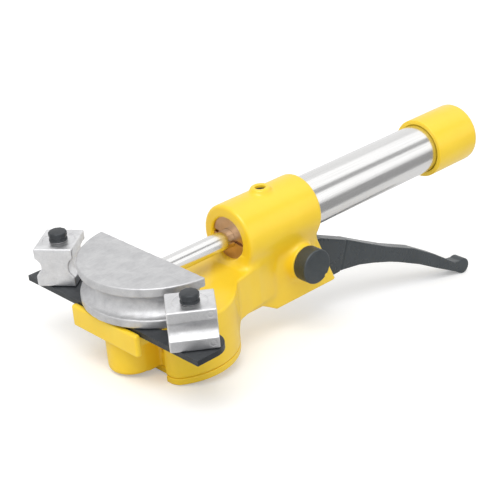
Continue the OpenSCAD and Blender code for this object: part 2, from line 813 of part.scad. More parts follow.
// The knob's shaft: its flat lets the holding pawl's tail drop, its round holds it up
module cam_shaft() {
  color(steel) placed() difference() {
    along_y(cam_x, cam_z, knob_y - knob_t + 2.2, spine_half + 3, cam_r);
    translate([cam_x, 0, cam_z]) rotate([0, -cam_turn, 0])
      block([cam_flat, -slot_half, -cam_r - eps], [cam_r + eps, slot_half, cam_r + eps]);
    difference() {
      along_y(cam_x, cam_z, spine_half + 0.1, spine_half + 1.5, cam_r + eps);
      along_y(cam_x, cam_z, spine_half, spine_half + 2, cam_r - 0.8);
    }
  }
}

module knob_grub_screw() {
  color(black_metal) placed() translate([cam_x, knob_y - 6, cam_z]) difference() {
    translate([0, 0, -cam_r - 7]) cylinder(r = 2.5 - trim, h = 6.9);
    translate([0, 0, -cam_r - 7 - eps]) cylinder(r = 1.3, h = 2.5, $fn = 6);
  }
}

module cam_shaft_circlip() {
  color(black_metal) placed() circlip(cam_x, cam_z, spine_half + 0.2, cam_r);
}

body_casting();
foot_plate();
foot_plate_screws();
barrel_tube();
barrel_grub_screw();
end_cap();
front_bush();
rod_wiper();
brake_pad();
brake_spring();
brake_screw();
crossbar();
crossbar_screws();
crossbar_dowels();
push_rod();
former_retaining_ring();
rod_guide_ring();
rod_end_nut();
bending_former();
side_former_left();
side_former_right();
pin_left();
pin_right();
pin_ring_left();
pin_ring_right();
lever();
lever_pin();
lever_pin_circlips();
lever_spring();
feed_pawl();
feed_pawl_pin();
feed_pawl_spring();
hold_pawl();
hold_pawl_pin();
hold_pawl_spring();
release_knob();
cam_shaft();
knob_grub_screw();
cam_shaft_circlip();
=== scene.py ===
# %% [markdown]
# # A hand-held ratchet bender for tube
#
# The real tool is a painted iron casting with a steel barrel behind it. A push rod slides out of the
# barrel and carries a half-round former of cast aluminium. Two side formers stand on a black crossbar.
# The exact metalwork comes packed as a fixed frame. This script gives each piece its look: castings
# get soft corners, turned parts get clean edges, and every finish is built from nodes.

# %% Load the metalwork
import json
import math

import bmesh
import bpy
import numpy as np
from mathutils import Matrix, Vector


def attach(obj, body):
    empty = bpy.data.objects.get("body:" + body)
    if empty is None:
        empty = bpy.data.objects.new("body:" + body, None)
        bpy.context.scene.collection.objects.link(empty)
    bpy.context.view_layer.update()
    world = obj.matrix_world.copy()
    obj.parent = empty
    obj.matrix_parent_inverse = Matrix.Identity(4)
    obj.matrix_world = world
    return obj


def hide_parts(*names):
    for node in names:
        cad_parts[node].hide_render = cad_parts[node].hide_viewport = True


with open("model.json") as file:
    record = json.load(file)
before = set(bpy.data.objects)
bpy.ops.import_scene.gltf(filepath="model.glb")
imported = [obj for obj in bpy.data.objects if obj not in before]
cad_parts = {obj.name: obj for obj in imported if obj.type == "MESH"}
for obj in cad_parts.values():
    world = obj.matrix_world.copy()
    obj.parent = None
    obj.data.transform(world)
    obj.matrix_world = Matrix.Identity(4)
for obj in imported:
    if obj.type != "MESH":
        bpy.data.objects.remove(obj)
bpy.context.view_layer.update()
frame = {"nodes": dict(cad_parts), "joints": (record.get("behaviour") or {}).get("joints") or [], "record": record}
nodes = frame["nodes"]
print("pieces in the frame:", len(nodes))

# %% [markdown]
# ## The tool's own axes
#
# The tool stands nose down on its foot and the tip of its lever, so nothing on it is square to the
# floor. Shapes are far easier to write along the tool itself: X along the push rod, Z up from it,
# and the origin at the middle of the bend. The push rod's joint gives the direction of X, and the
# mount in the former's groove gives the origin. All shapes below are in millimetres in these axes.

# %% From the tool's axes to the floor's
MM = 0.001
BEND_RADIUS = 74.0
record = frame["record"]
slide = next(j for j in frame["joints"] if j["name"] == "rod_slide")
groove = next(m for m in record["mounts"] if m["name"] == "tube_groove")
along = Vector(slide["axis"]).normalized()
across = Vector((0, 1, 0))
above = along.cross(across)
TOOL = Matrix((along, across, above)).transposed().to_4x4()
TOOL.translation = Vector(groove["pos_m"]) + along * BEND_RADIUS * MM
STANCE = math.atan2(along.z, along.x)
turn_to_row = np.array(TOOL.to_3x3())
print("the rod rises by", round(math.degrees(STANCE), 2), "degrees")


def to_row(points):
    """Points in millimetres along the tool, as points in metres above the floor."""
    return np.asarray(points, float) * MM @ turn_to_row.T + np.array(TOOL.translation)


def span(node):
    """Lowest and highest corner of a CAD node along the tool's axes, in millimetres."""
    co = np.array([v.co for v in nodes[node].data.vertices], float)
    co = (co - np.array(TOOL.translation)) @ turn_to_row / MM
    return co.min(0), co.max(0)


def put(name, data):
    """A new object in the scene."""
    made = bpy.data.objects.new(name, data)
    bpy.context.scene.collection.objects.link(made)
    return made


# %% Places that the castings share with their neighbours
plate_low, plate_high = span("foot_plate")
pin_low, pin_high = span("pin_left")
barrel_low, barrel_high = span("barrel_tube")
knob_low, knob_high = span("release_knob")
DECK = span("crossbar")[0][2]
SEAM, SOLE = plate_high[2], plate_low[2]
PIN, KNOB, LEVER_PIN, FEED_PIN, BRAKE = (
    sum(span(node)) / 2 for node in ("pin_left", "release_knob", "lever_pin", "feed_pawl_pin",
                                     "brake_screw"))
BRAKE_X = BRAKE[0]
print("deck at", round(DECK, 2), "pin at", PIN.round(1), "knob at", KNOB.round(1))

# %% [markdown]
# ## The camera
#
# A long lens from the left of the nose, a little above the tool. It is set up in the tool's axes
# first and then turned with them, so the tool keeps its place in the frame however it stands.

# %% Camera
AIM = (106.22, 0.0, -22.28)
AZIMUTH, ELEVATION, ROLL = math.radians(-40.45), math.radians(26.41), math.radians(-5.0)
DISTANCE = 1385.3
LENS = 106.9

back = Vector((math.sin(AZIMUTH) * math.cos(ELEVATION),
               -math.cos(AZIMUTH) * math.cos(ELEVATION), math.sin(ELEVATION)))
level = (-back).cross(Vector((0, 0, 1))).normalized()
upright = level.cross(-back)
right = level * math.cos(ROLL) + upright * math.sin(ROLL)
top = upright * math.cos(ROLL) - level * math.sin(ROLL)
camera = put("Camera", bpy.data.cameras.new("Camera"))
camera.data.lens = LENS
camera.data.sensor_width = 36.0
pose = Matrix((right, top, back)).transposed().to_4x4()
pose.translation = (Vector(AIM) + back * DISTANCE) * MM
camera.matrix_world = TOOL @ pose
bpy.context.scene.camera = camera
bpy.context.scene.view_settings.view_transform = "Standard"
print("camera at", [round(v, 3) for v in camera.matrix_world.translation])

# %% [markdown]
# ## Shader effects shared by several finishes
#
# Rubbed edges with a painted edge highlight, the skin of a casting, the fine lines of drawn steel, the
# rings left by a lathe and the smudges of handling all come back in more than one finish. Each is a
# node group with named inputs, built once. A group only puts out masks and heights, and the shader
# stays in the material.

# %% Small helpers for nodes


def add(tree, kind, inputs=None, **settings):
    """A new node. An input is a number, a colour, or another node's socket to link from."""
    made = tree.nodes.new("ShaderNode" + kind)
    for key, value in settings.items():
        setattr(made, key, value)
    for key, value in (inputs or {}).items():
        if isinstance(value, bpy.types.NodeSocket):
            tree.links.new(value, made.inputs[key])
        else:
            made.inputs[key].default_value = value
    return made


def sum_of(tree, operation, *values):
    """One Math node's result."""
    return add(tree, "Math", dict(enumerate(values)), operation=operation).outputs[0]


def spread(tree, value, low, high, new_low, new_high):
    """A value moved from one range to another, held at its ends."""
    return add(tree, "MapRange", {0: value, 1: low, 2: high, 3: new_low, 4: new_high}).outputs[0]


def new_effect(name, inputs, outputs):
    """An empty node group with these inputs and outputs, and its two end nodes."""
    group = bpy.data.node_groups.new(name, "ShaderNodeTree")
    for label, value in inputs.items():
        kind = "NodeSocketFloat" if isinstance(value, (int, float)) else "NodeSocketVector"
        group.interface.new_socket(label, in_out="INPUT", socket_type=kind).default_value = value
    for label in outputs:
        group.interface.new_socket(label, in_out="OUTPUT", socket_type="NodeSocketFloat")
    return group, group.nodes.new("NodeGroupInput"), group.nodes.new("NodeGroupOutput")


def use(tree, group, **inputs):
    """A group placed in a material, with its own values."""
    made = tree.nodes.new("ShaderNodeGroup")
    made.node_tree = group
    for label, value in inputs.items():
        made.inputs[label.replace("_", " ")].default_value = value
    return made


# %% [markdown]
# ** Rubbed edges and painted edge highlight.** Paint and black oxide rub off where hands and other metal
# touch, which is on the corners, and the same paler edge colour is also a painted highlight along every
# corner. The Bevel node gives the normal that a rounded corner would have, and where that differs
# from the real normal there is an edge. Noise breaks the line up so it doesn't look drawn on.

# %% Rubbed edges and painted edge highlight
edge_rub_and_highlight, given, result = new_effect("Edge rub and highlight", {"Width": 0.0006, "Amount": 3.0, "Grain": 700.0},
                                      ["Mask"])
rounded_normal = add(edge_rub_and_highlight, "Bevel", {"Radius": given.outputs["Width"]}, samples=4)
plain_normal = add(edge_rub_and_highlight, "NewGeometry")
sameness = add(edge_rub_and_highlight, "VectorMath", {0: rounded_normal.outputs[0],
                                         1: plain_normal.outputs["Normal"]}, operation="DOT_PRODUCT")
place = add(edge_rub_and_highlight, "TexCoord").outputs["Object"]
breaks = add(edge_rub_and_highlight, "TexNoise", {"Vector": place, "Scale": given.outputs["Grain"], "Detail": 3})
edge = sum_of(edge_rub_and_highlight, "SUBTRACT", 1.0, sameness.outputs["Value"])
edge = sum_of(edge_rub_and_highlight, "MULTIPLY", edge, given.outputs["Amount"])
broken = spread(edge_rub_and_highlight, breaks.outputs[0], 0.35, 0.65, 0.25, 1.0)
# The mask marks rubbed corners and a painted highlight along them.
edge_rub_and_highlight.links.new(add(edge_rub_and_highlight, "Clamp", {0: sum_of(edge_rub_and_highlight, "MULTIPLY", edge, broken)}).outputs[0],
                    result.inputs["Mask"])
print("effect:", edge_rub_and_highlight.name)

# %% [markdown]
# **Cast skin.** Metal that sets against sand or a die keeps a fine uneven skin, with broad clouds of
# lighter and darker grey. Two noises do it: a fine one for height and a broad one for the clouds.

# %% Cast skin
cast_skin, given, result = new_effect("Cast skin", {"Grain": 900.0, "Clouds": 60.0},
                                      ["Height", "Clouds"])
place = add(cast_skin, "TexCoord").outputs["Object"]
fine = add(cast_skin, "TexNoise", {"Vector": place, "Scale": given.outputs["Grain"], "Detail": 5,
                                   "Roughness": 0.6})
broad = add(cast_skin, "TexNoise", {"Vector": place, "Scale": given.outputs["Clouds"], "Detail": 6,
                                    "Roughness": 0.65, "Distortion": 0.4})
cast_skin.links.new(fine.outputs[0], result.inputs["Height"])
cast_skin.links.new(spread(cast_skin, broad.outputs[0], 0.3, 0.7, 0.0, 1.0), result.inputs["Clouds"])
print("effect:", cast_skin.name)

# %% [markdown]
# **Drawn lines.** Tube and rod are drawn and polished along their length, which leaves hair-fine
# lines that way. A noise does this when its space is first turned to the tool's axes and then
# stretched: long along the rod, very short across it.

# %% Drawn lines
drawn_lines, given, result = new_effect("Drawn lines", {"Length": 0.06, "Width": 0.0005}, ["Lines"])
place = add(drawn_lines, "TexCoord").outputs["Object"]
stretch = add(drawn_lines, "CombineXYZ", {0: given.outputs["Length"], 1: given.outputs["Width"],
                                          2: given.outputs["Width"]})
turned = add(drawn_lines, "Mapping", {"Vector": place, "Rotation": (0, -STANCE, 0),
                                      "Scale": stretch.outputs[0]}, vector_type="TEXTURE")
lines = add(drawn_lines, "TexNoise", {"Vector": turned.outputs[0], "Scale": 1.0, "Detail": 4})
drawn_lines.links.new(spread(drawn_lines, lines.outputs[0], 0.3, 0.7, 0.0, 1.0),
                      result.inputs["Lines"])
print("effect:", drawn_lines.name)

# %% [markdown]
# **Lathe rings.** A turned face carries rings round its centre. The distance from the axis feeds a
# noise that has one dimension only, so the pattern changes from ring to ring but not along a ring.

# %% Lathe rings
lathe_rings, given, result = new_effect(
    "Lathe rings", {"Centre": (0.0, 0.0, 0.0), "Axis": (1.0, 0.0, 0.0), "Spacing": 0.0004}, ["Rings"])
place = add(lathe_rings, "TexCoord").outputs["Object"]
arm = add(lathe_rings, "VectorMath", {0: place, 1: given.outputs["Centre"]}, operation="SUBTRACT")
off_axis = add(lathe_rings, "VectorMath", {0: arm.outputs[0], 1: given.outputs["Axis"]},
               operation="CROSS_PRODUCT")
distance = add(lathe_rings, "VectorMath", {0: off_axis.outputs[0]}, operation="LENGTH")
count = sum_of(lathe_rings, "DIVIDE", distance.outputs["Value"], given.outputs["Spacing"])
rings = add(lathe_rings, "TexNoise", {"W": count, "Scale": 1.0, "Detail": 2}, noise_dimensions="1D")
lathe_rings.links.new(rings.outputs[0], result.inputs["Rings"])
print("effect:", lathe_rings.name)

# %% [markdown]
# **Smudges.** Handling leaves patches a few centimetres wide that are a little duller than the
# rest. They only change the roughness, by a small amount.

# %% Smudges
smudges, given, result = new_effect("Smudges", {"Size": 28.0}, ["Mask"])
place = add(smudges, "TexCoord").outputs["Object"]
patches = add(smudges, "TexNoise", {"Vector": place, "Scale": given.outputs["Size"], "Detail": 5,
                                    "Roughness": 0.7, "Distortion": 0.8})
smudges.links.new(spread(smudges, patches.outputs[0], 0.4, 0.65, 0.0, 1.0), result.inputs["Mask"])
print("effect:", smudges.name)

# %% [markdown]
# ## The finishes
#
# Each finish starts from one Principled shader. Numbers that are the same all over sit on the
# shader's own sockets. Only what changes over the surface is linked: colour, roughness and height.

# %% Helpers for finishes


def new_finish(name, **values):
    """A new material whose Principled shader has these values."""
    made = bpy.data.materials.new(name)
    made.use_nodes = True
    shader = made.node_tree.nodes["Principled BSDF"]
    for label, value in values.items():
        shader.inputs[label.replace("_", " ")].default_value = value
    return made, made.node_tree, shader


def two_tone(tree, mask, first, second):
    """A colour between two, as a mask says."""
    return add(tree, "Mix", {0: mask, 6: (*first, 1), 7: (*second, 1)}, data_type="RGBA").outputs[2]


def tinted(tree, mask, under, over):
    """The same, where the first colour comes from another node."""
    return add(tree, "Mix", {0: mask, 6: under, 7: (*over, 1)}, data_type="RGBA").outputs[2]


def feed(tree, shader, colour, roughness):
    """Links a colour and a roughness to the shader."""
    tree.links.new(colour, shader.inputs["Base Color"])
    tree.links.new(roughness, shader.inputs["Roughness"])


def raise_surface(tree, shader, height, depth, strength=1.0):
    """Bump from a height, in metres."""
    bump = add(tree, "Bump", {"Height": height, "Distance": depth, "Strength": strength})
    tree.links.new(bump.outputs[0], shader.inputs["Normal"])


# %% [markdown]
# ** Yellow paint** on the casting, the foot plate and the end cap. It is a thick gloss coat over a
# rough casting, so the skin below only shows as a gentle orange peel. The colour drifts very slightly
# with the film's thickness, and sharp corners get a paler line that is partly thin paint and partly a
# painted highlight.

# %% Yellow paint
yellow, tree, shader = new_finish("yellow_gloss_paint", Coat_Weight=0.15, Coat_Roughness=0.12,
                                  IOR=1.5)
skin = use(tree, cast_skin, Grain=420.0, Clouds=22.0)
rub_and_highlight = use(tree, edge_rub_and_highlight, Width=0.0012, Amount=0.8, Grain=500.0)
dull = use(tree, smudges, Size=30.0)
film = two_tone(tree, skin.outputs["Clouds"], (0.95, 0.63, 0.020), (0.98, 0.68, 0.028))
# The paler corner colour is partly thin paint and partly a painted highlight.
feed(tree, shader, tinted(tree, rub_and_highlight.outputs["Mask"], film, (0.97, 0.70, 0.11)),
     spread(tree, dull.outputs["Mask"], 0, 1, 0.3, 0.4))
raise_surface(tree, shader, skin.outputs["Height"], 0.00008, 0.5)

# %% [markdown]
# **Polished steel** on the barrel and the push rod. It is bright and nearly a mirror, but the drawn
# lines pull each reflection out lengthwise, so the lines go into the roughness and a tiny height.

# %% Polished steel
steel, tree, shader = new_finish("polished_steel_tube", Metallic=1.0)
lines = use(tree, drawn_lines, Length=0.09, Width=0.0007)
hair = use(tree, drawn_lines, Length=0.03, Width=0.00016)
dull = use(tree, smudges, Size=22.0)
grey = two_tone(tree, lines.outputs["Lines"], (0.70, 0.695, 0.69), (0.78, 0.775, 0.77))
rough = sum_of(tree, "MULTIPLY_ADD", hair.outputs["Lines"], 0.08, 0.13)
rough = sum_of(tree, "MULTIPLY_ADD", dull.outputs["Mask"], 0.05, rough)
feed(tree, shader, grey, rough)
raise_surface(tree, shader, hair.outputs["Lines"], 0.000006, 0.6)

# %% [markdown]
# ** Cast aluminium** on the three formers. The faces are mottled light and dark grey, with fine
# scratches from shaking out and trimming, and the corners are brighter, partly burnished and partly a
# painted highlight.

# %% Cast aluminium


def aluminium(name, dark, light, rough_low, rough_high, depth):
    """Cast aluminium between two greys and two roughnesses."""
    made, tree, shader = new_finish(name, Metallic=1.0)
    skin = use(tree, cast_skin, Grain=1300.0, Clouds=75.0)
    scratch = use(tree, drawn_lines, Length=0.02, Width=0.0009)
    rub_and_highlight = use(tree, edge_rub_and_highlight, Width=0.0007, Amount=2.5, Grain=600.0)
    cloud = sum_of(tree, "MULTIPLY_ADD", scratch.outputs["Lines"], 0.35, skin.outputs["Clouds"])
    cloud = spread(tree, cloud, 0.1, 1.25, 0.0, 1.0)
    grey = two_tone(tree, cloud, dark, light)
    # Brighter corner colour: burnished metal and a painted highlight.
    bright = (min(1, light[0] * 1.12),) * 3
    feed(tree, shader, tinted(tree, rub_and_highlight.outputs["Mask"], grey, bright),
         spread(tree, cloud, 0, 1, rough_high, rough_low))
    raise_surface(tree, shader, skin.outputs["Height"], depth, 0.7)
    return made


former_metal = aluminium("cast_aluminium_former", (0.50, 0.50, 0.51), (0.66, 0.66, 0.665), 0.36, 0.52,
                         0.00012)
side_metal = aluminium("cast_aluminium_side_former", (0.60, 0.60, 0.61), (0.82, 0.82, 0.83), 0.28, 0.46,
                       0.00010)

# %% [markdown]
# ** Black oxide** on the crossbar, the pins and the small screws is a very thin dark skin on steel.
# It is more grey than black, slightly uneven, and rubs back to the metal along the edges, where the
# paler colour is also a painted highlight.

# %% Black oxide


def blackened(name, dark, pale, rough, rub_and_highlight_amount):
    """Dark oxide with paler edges, partly bare metal and partly a painted highlight."""
    made, tree, shader = new_finish(name, Metallic=0.55, Specular_IOR_Level=0.45)
    skin = use(tree, cast_skin, Grain=1500.0, Clouds=110.0)
    rub_and_highlight = use(tree, edge_rub_and_highlight, Width=0.0005, Amount=rub_and_highlight_amount, Grain=900.0)
    coat = two_tone(tree, skin.outputs["Clouds"], dark, pale)
    # Paler edge colour: bare metal and a painted highlight.
    feed(tree, shader, tinted(tree, rub_and_highlight.outputs["Mask"], coat, (0.30, 0.30, 0.31)),
         spread(tree, skin.outputs["Clouds"], 0, 1, rough + 0.06, rough))
    raise_surface(tree, shader, skin.outputs["Height"], 0.00003, 0.5)
    return made


black = blackened("black_oxide", (0.036, 0.040, 0.044), (0.056, 0.061, 0.067), 0.40, 1.2)
# The knob's larger edge amount gives its chamfer rubbed metal and a painted highlight.
knob_black = blackened("black_oxide_knob", (0.066, 0.076, 0.082), (0.084, 0.095, 0.102), 0.45, 1.6)

# %% [markdown]
# ** Lever enamel** is a dark blue-grey, satin coat over a pressed steel lever. It is smooth, with a
# faint orange peel, and a bit paler on its corners, partly rubbed and partly a painted highlight.

# %% Lever enamel
enamel, tree, shader = new_finish("lever_enamel", IOR=1.5, Specular_IOR_Level=0.35)
skin = use(tree, cast_skin, Grain=520.0, Clouds=35.0)
rub_and_highlight = use(tree, edge_rub_and_highlight, Width=0.0007, Amount=1.2, Grain=500.0)
dull = use(tree, smudges, Size=35.0)
coat = two_tone(tree, skin.outputs["Clouds"], (0.036, 0.044, 0.050), (0.048, 0.057, 0.064))
# Paler corner colour: rubbed enamel and a painted highlight.
feed(tree, shader, tinted(tree, rub_and_highlight.outputs["Mask"], coat, (0.17, 0.18, 0.19)),
     spread(tree, dull.outputs["Mask"], 0, 1, 0.24, 0.34))
raise_surface(tree, shader, skin.outputs["Height"], 0.00006, 0.5)

# %% [markdown]
# **Bronze, bright steel, spring steel and rubber** finish the small parts. Bronze is turned, so it
# takes the lathe rings, and the bright steel takes the drawn lines.

# %% Bronze
bronze, tree, shader = new_finish("turned_bronze", Metallic=1.0)
bush_centre = list(to_row([(span("front_bush")[0][0], 0, 0)])[0])
rings = use(tree, lathe_rings, Centre=bush_centre, Axis=tuple(along), Spacing=0.0005)
skin = use(tree, cast_skin, Grain=900.0, Clouds=60.0)
tone = sum_of(tree, "MULTIPLY_ADD", rings.outputs["Rings"], 0.6, skin.outputs["Clouds"])
feed(tree, shader,
     two_tone(tree, spread(tree, tone, 0.2, 1.3, 0, 1), (0.46, 0.27, 0.14), (0.66, 0.42, 0.25)),
     spread(tree, rings.outputs["Rings"], 0.3, 0.7, 0.28, 0.4))
raise_surface(tree, shader, rings.outputs["Rings"], 0.00003, 0.6)

# %% Bright steel, spring steel and rubber


def plain_steel(name, dark, light, rough):
    """Small ground or wire parts, with paler edges that are partly rubbed metal and partly a painted highlight."""
    made, tree, shader = new_finish(name, Metallic=1.0)
    lines = use(tree, drawn_lines, Length=0.008, Width=0.0003)
    rub_and_highlight = use(tree, edge_rub_and_highlight, Width=0.0004, Amount=1.5, Grain=900.0)
    grey = two_tone(tree, lines.outputs["Lines"], dark, light)
    feed(tree, shader, tinted(tree, rub_and_highlight.outputs["Mask"], grey, (0.8, 0.8, 0.8)),
         spread(tree, lines.outputs["Lines"], 0, 1, rough, rough + 0.12))
    raise_surface(tree, shader, lines.outputs["Lines"], 0.00001, 0.5)
    return made


bright = plain_steel("bright_steel", (0.52, 0.52, 0.53), (0.66, 0.66, 0.66), 0.24)
spring = plain_steel("spring_steel", (0.34, 0.34, 0.36), (0.46, 0.46, 0.48), 0.32)

rubber, tree, shader = new_finish("black_rubber", Specular_IOR_Level=0.35)
skin = use(tree, cast_skin, Grain=1800.0, Clouds=150.0)
feed(tree, shader, two_tone(tree, skin.outputs["Clouds"], (0.018, 0.018, 0.018), (0.035, 0.034, 0.033)),
     spread(tree, skin.outputs["Height"], 0.3, 0.7, 0.62, 0.8))
raise_surface(tree, shader, skin.outputs["Height"], 0.00004, 0.6)
print("finishes:", len(bpy.data.materials))

# %% [markdown]
# ## From a field to a surface
#
# A casting has no hard inside corners: every joint between two masses is a soft hollow. Meshes make
# that hard, but a distance field makes it easy. At each point of a lattice the field says how far
# the nearest surface is, below zero inside. Two shapes join with min(), and a smooth min() rounds the
# corner between them like a fillet. The surface is then drawn where the field is zero.

# %% Distance fields


def lattice(low, high, step):
    """Coordinates of a lattice, as three arrays that stretch over each other."""
    x, y, z = (np.arange(a, b + step, step, dtype=np.float32) for a, b in zip(low, high))
    return x[:, None, None], y[None, :, None], z[None, None, :]


def meet(a, b):
    """Distance to the place where two shapes that are square to each other overlap."""
    return np.minimum(np.maximum(a, b), 0) + np.hypot(np.maximum(a, 0), np.maximum(b, 0))


def within(value, ends, soft=0.0):
    """Distance to the slab between two ends, drawn in by soft."""
    return np.abs(value - (ends[0] + ends[1]) / 2) - ((ends[1] - ends[0]) / 2 - soft)


def bar(a, b, c, centre, radius, ends, soft=0.0):
    """A cylinder along c, with its rims rounded by soft."""
    out = np.hypot(a - centre[0], b - centre[1]) - (radius - soft)
    return meet(out, within(c, ends, soft)) - soft


def block(grid, low, high, soft=0.0):
    """A box with rounded edges."""
    out = [within(v, (a, b), soft) for v, a, b in zip(grid, low, high)]
    return meet(meet(out[0], out[1]), out[2]) - soft


def shrink(outline, by):
    """An outline with each side moved inwards."""
    p = np.array(outline, float)
    area = (p[:, 0] * np.roll(p[:, 1], -1) - p[:, 1] * np.roll(p[:, 0], -1)).sum()
    if area < 0:
        p = p[::-1]
    step = np.roll(p, -1, 0) - p
    normal = np.stack([-step[:, 1], step[:, 0]], 1) / np.linalg.norm(step, axis=1)[:, None]
    before = np.roll(normal, 1, 0)
    turn = 1 + (normal * before).sum(1)
    return p + by * (normal + before) / turn[:, None]


def outline_field(outline, a, b):
    """Distance to an outline drawn in a and b, below zero inside."""
    far = np.float32(1e9)
    inside = False
    for (ax, ay), (bx, by) in zip(outline, np.roll(outline, -1, 0)):
        ex, ey, wx, wy = bx - ax, by - ay, a - ax, b - ay
        t = np.clip((wx * ex + wy * ey) / (ex * ex + ey * ey), 0, 1)
        far = np.minimum(far, np.hypot(wx - ex * t, wy - ey * t))
        if ay != by:
            passes = ((ay <= b) != (by <= b)) & (a < ax + ex * (b - ay) / (by - ay))
            inside = inside ^ passes
    return np.where(inside, -far, far)


def slice_of(outline, a, b, c, ends, soft=0.0):
    """An outline drawn in a and b, with a thickness along c and rounded edges."""
    flat = outline_field(shrink(outline, soft), a, b)
    return meet(flat, within(c, ends, soft)) - soft


def weld(a, b, radius):
    """Two fields joined, with a fillet of about this radius between them."""
    h = np.clip(0.5 + 0.5 * (b - a) / radius, 0, 1)
    return b + (a - b) * h - radius * h * (1 - h)


def hollow(a, b, radius):
    """The first field with the second cut out, its rim rounded."""
    return -weld(-a, b, radius)


# %% Draw the surface where a field is zero


def surface(field, grid, step):
    """Points and four-sided faces of the surface, one point in each cell that it crosses."""
    inside = field < 0
    stride = np.array([field.shape[1] * field.shape[2], field.shape[2], 1])
    rings, places = [], []
    for axis in range(3):
        a, b = (axis + 1) % 3, (axis + 2) % 3
        here, there = [slice(None)] * 3, [slice(None)] * 3
        here[axis], there[axis] = slice(0, -1), slice(1, None)
        at = np.argwhere(inside[tuple(here)] != inside[tuple(there)])
        ahead = at.copy()
        ahead[:, axis] += 1
        value, beyond = field[tuple(at.T)], field[tuple(ahead.T)]
        crossing = at.astype(float)
        crossing[:, axis] += value / (value - beyond)
        cell = at @ stride
        ring = np.stack([cell - stride[a] - stride[b], cell - stride[b], cell, cell - stride[a]], 1)
        ring[beyond < 0] = ring[beyond < 0][:, ::-1]
        rings.append(ring)
        places.append(np.repeat(crossing, 4, 0))
    index = np.unique(np.concatenate(rings), return_inverse=True)[1].ravel()
    total = np.bincount(index)
    places = np.concatenate(places)
    points = np.stack([np.bincount(index, places[:, i]) / total for i in range(3)], 1)
    origin = np.array([float(v.ravel()[0]) for v in grid])
    return origin + points * step, index.reshape(-1, 4)


# %% [markdown]
# ## Turned parts
#
# The barrel, the end cap and the pins come off a lathe. Each is a profile of corners, given as
# (along, radius, rounding), that is spun round an axis. A real lathe tool always breaks the corners,
# so each one becomes a short curve that catches the light.

# %% Spin a profile


def eased(corners, steps=4):
    """A closed profile with each corner turned into a short curve."""
    p = np.array([c[:2] for c in corners], float)
    made = []
    for i, (x, r, soft) in enumerate(corners):
        before, here, after = p[i - 1], p[i], p[(i + 1) % len(p)]
        u, v = before - here, after - here
        lu, lv = np.linalg.norm(u), np.linalg.norm(v)
        if soft <= 0 or lu < 1e-9 or lv < 1e-9:
            made.append(here)
            continue
        reach = min(soft, 0.48 * lu, 0.48 * lv)
        first, last = here + u / lu * reach, here + v / lv * reach
        for t in np.linspace(0, 1, steps + 1):
            made.append((1 - t) ** 2 * first + 2 * t * (1 - t) * here + t * t * last)
    return made


def spin(corners, segments=96, scallop=None):
    """Points and faces of a closed profile spun round X. scallop(along, angle) shifts the radius."""
    profile = eased(corners)
    turns = np.arange(segments) * 2 * math.pi / segments
    points = []
    for x, r in profile:
        rr = np.full(segments, max(r, 0.0))
        if scallop is not None:
            rr = np.maximum(rr + scallop(x, r, turns), 0)
        points.append(np.stack([np.full(segments, x), rr * np.cos(turns), rr * np.sin(turns)], 1))
    n, faces = len(profile), []
    for i in range(n):
        j = (i + 1) % n
        for k in range(segments):
            m = (k + 1) % segments
            faces.append((i * segments + k, j * segments + k, j * segments + m, i * segments + m))
    return np.concatenate(points), faces


def stand_up(points, x=0.0, y=0.0, z=0.0):
    """A shape spun round X, stood along Z at a place."""
    p = np.asarray(points)
    return np.stack([x + p[:, 1], y + p[:, 2], z + p[:, 0]], 1)


# %% [markdown]
# ## Making a piece
#
# Every piece goes through one function. It moves the points to the floor's axes, welds points that
# coincide, turns all faces outwards, shades them, and tells the frame which body the piece rides on
# and which CAD node it stands for.

# %% Make a piece


def link_mesh(name, mesh, body, finish, stands_for):
    """Puts a mesh in the scene, on its body, with its finish."""
    made = put(name, mesh)
    mesh.materials.clear()
    mesh.materials.append(finish)
    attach(made, body)
    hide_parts(*stands_for)
    print(name, "has", len(mesh.polygons), "faces")
    return made


def shade(bm, mesh, sharp):
    """Writes the mesh with smooth shading, but sharp where faces meet at a steep angle."""
    for face in bm.faces:
        face.smooth = True
    bm.to_mesh(mesh)
    bm.free()
    if sharp:
        mesh.set_sharp_from_angle(angle=math.radians(sharp))


def make_piece(name, points, faces, body, finish, stands_for, sharp=0, tidy=True):
    """A piece from points along the tool. A surface from a field is already tidy."""
    mesh = bpy.data.meshes.new(name)
    mesh.from_pydata(to_row(points).tolist(), [], [tuple(int(v) for v in f) for f in faces])
    bm = bmesh.new()
    bm.from_mesh(mesh)
    if tidy:
        bmesh.ops.remove_doubles(bm, verts=bm.verts, dist=1e-7)
        bmesh.ops.recalc_face_normals(bm, faces=bm.faces)
    shade(bm, mesh, sharp)
    return link_mesh(name, mesh, body, finish, stands_for)


def make_casting(name, field, grid, step, body, finish):
    """A piece from the surface of a field. It stands for the node that its name starts with."""
    points, faces = surface(field, grid, step)
    node = name.rsplit("_", 1)[0]
    return make_piece(name, points, faces, body, finish, [node], tidy=False)


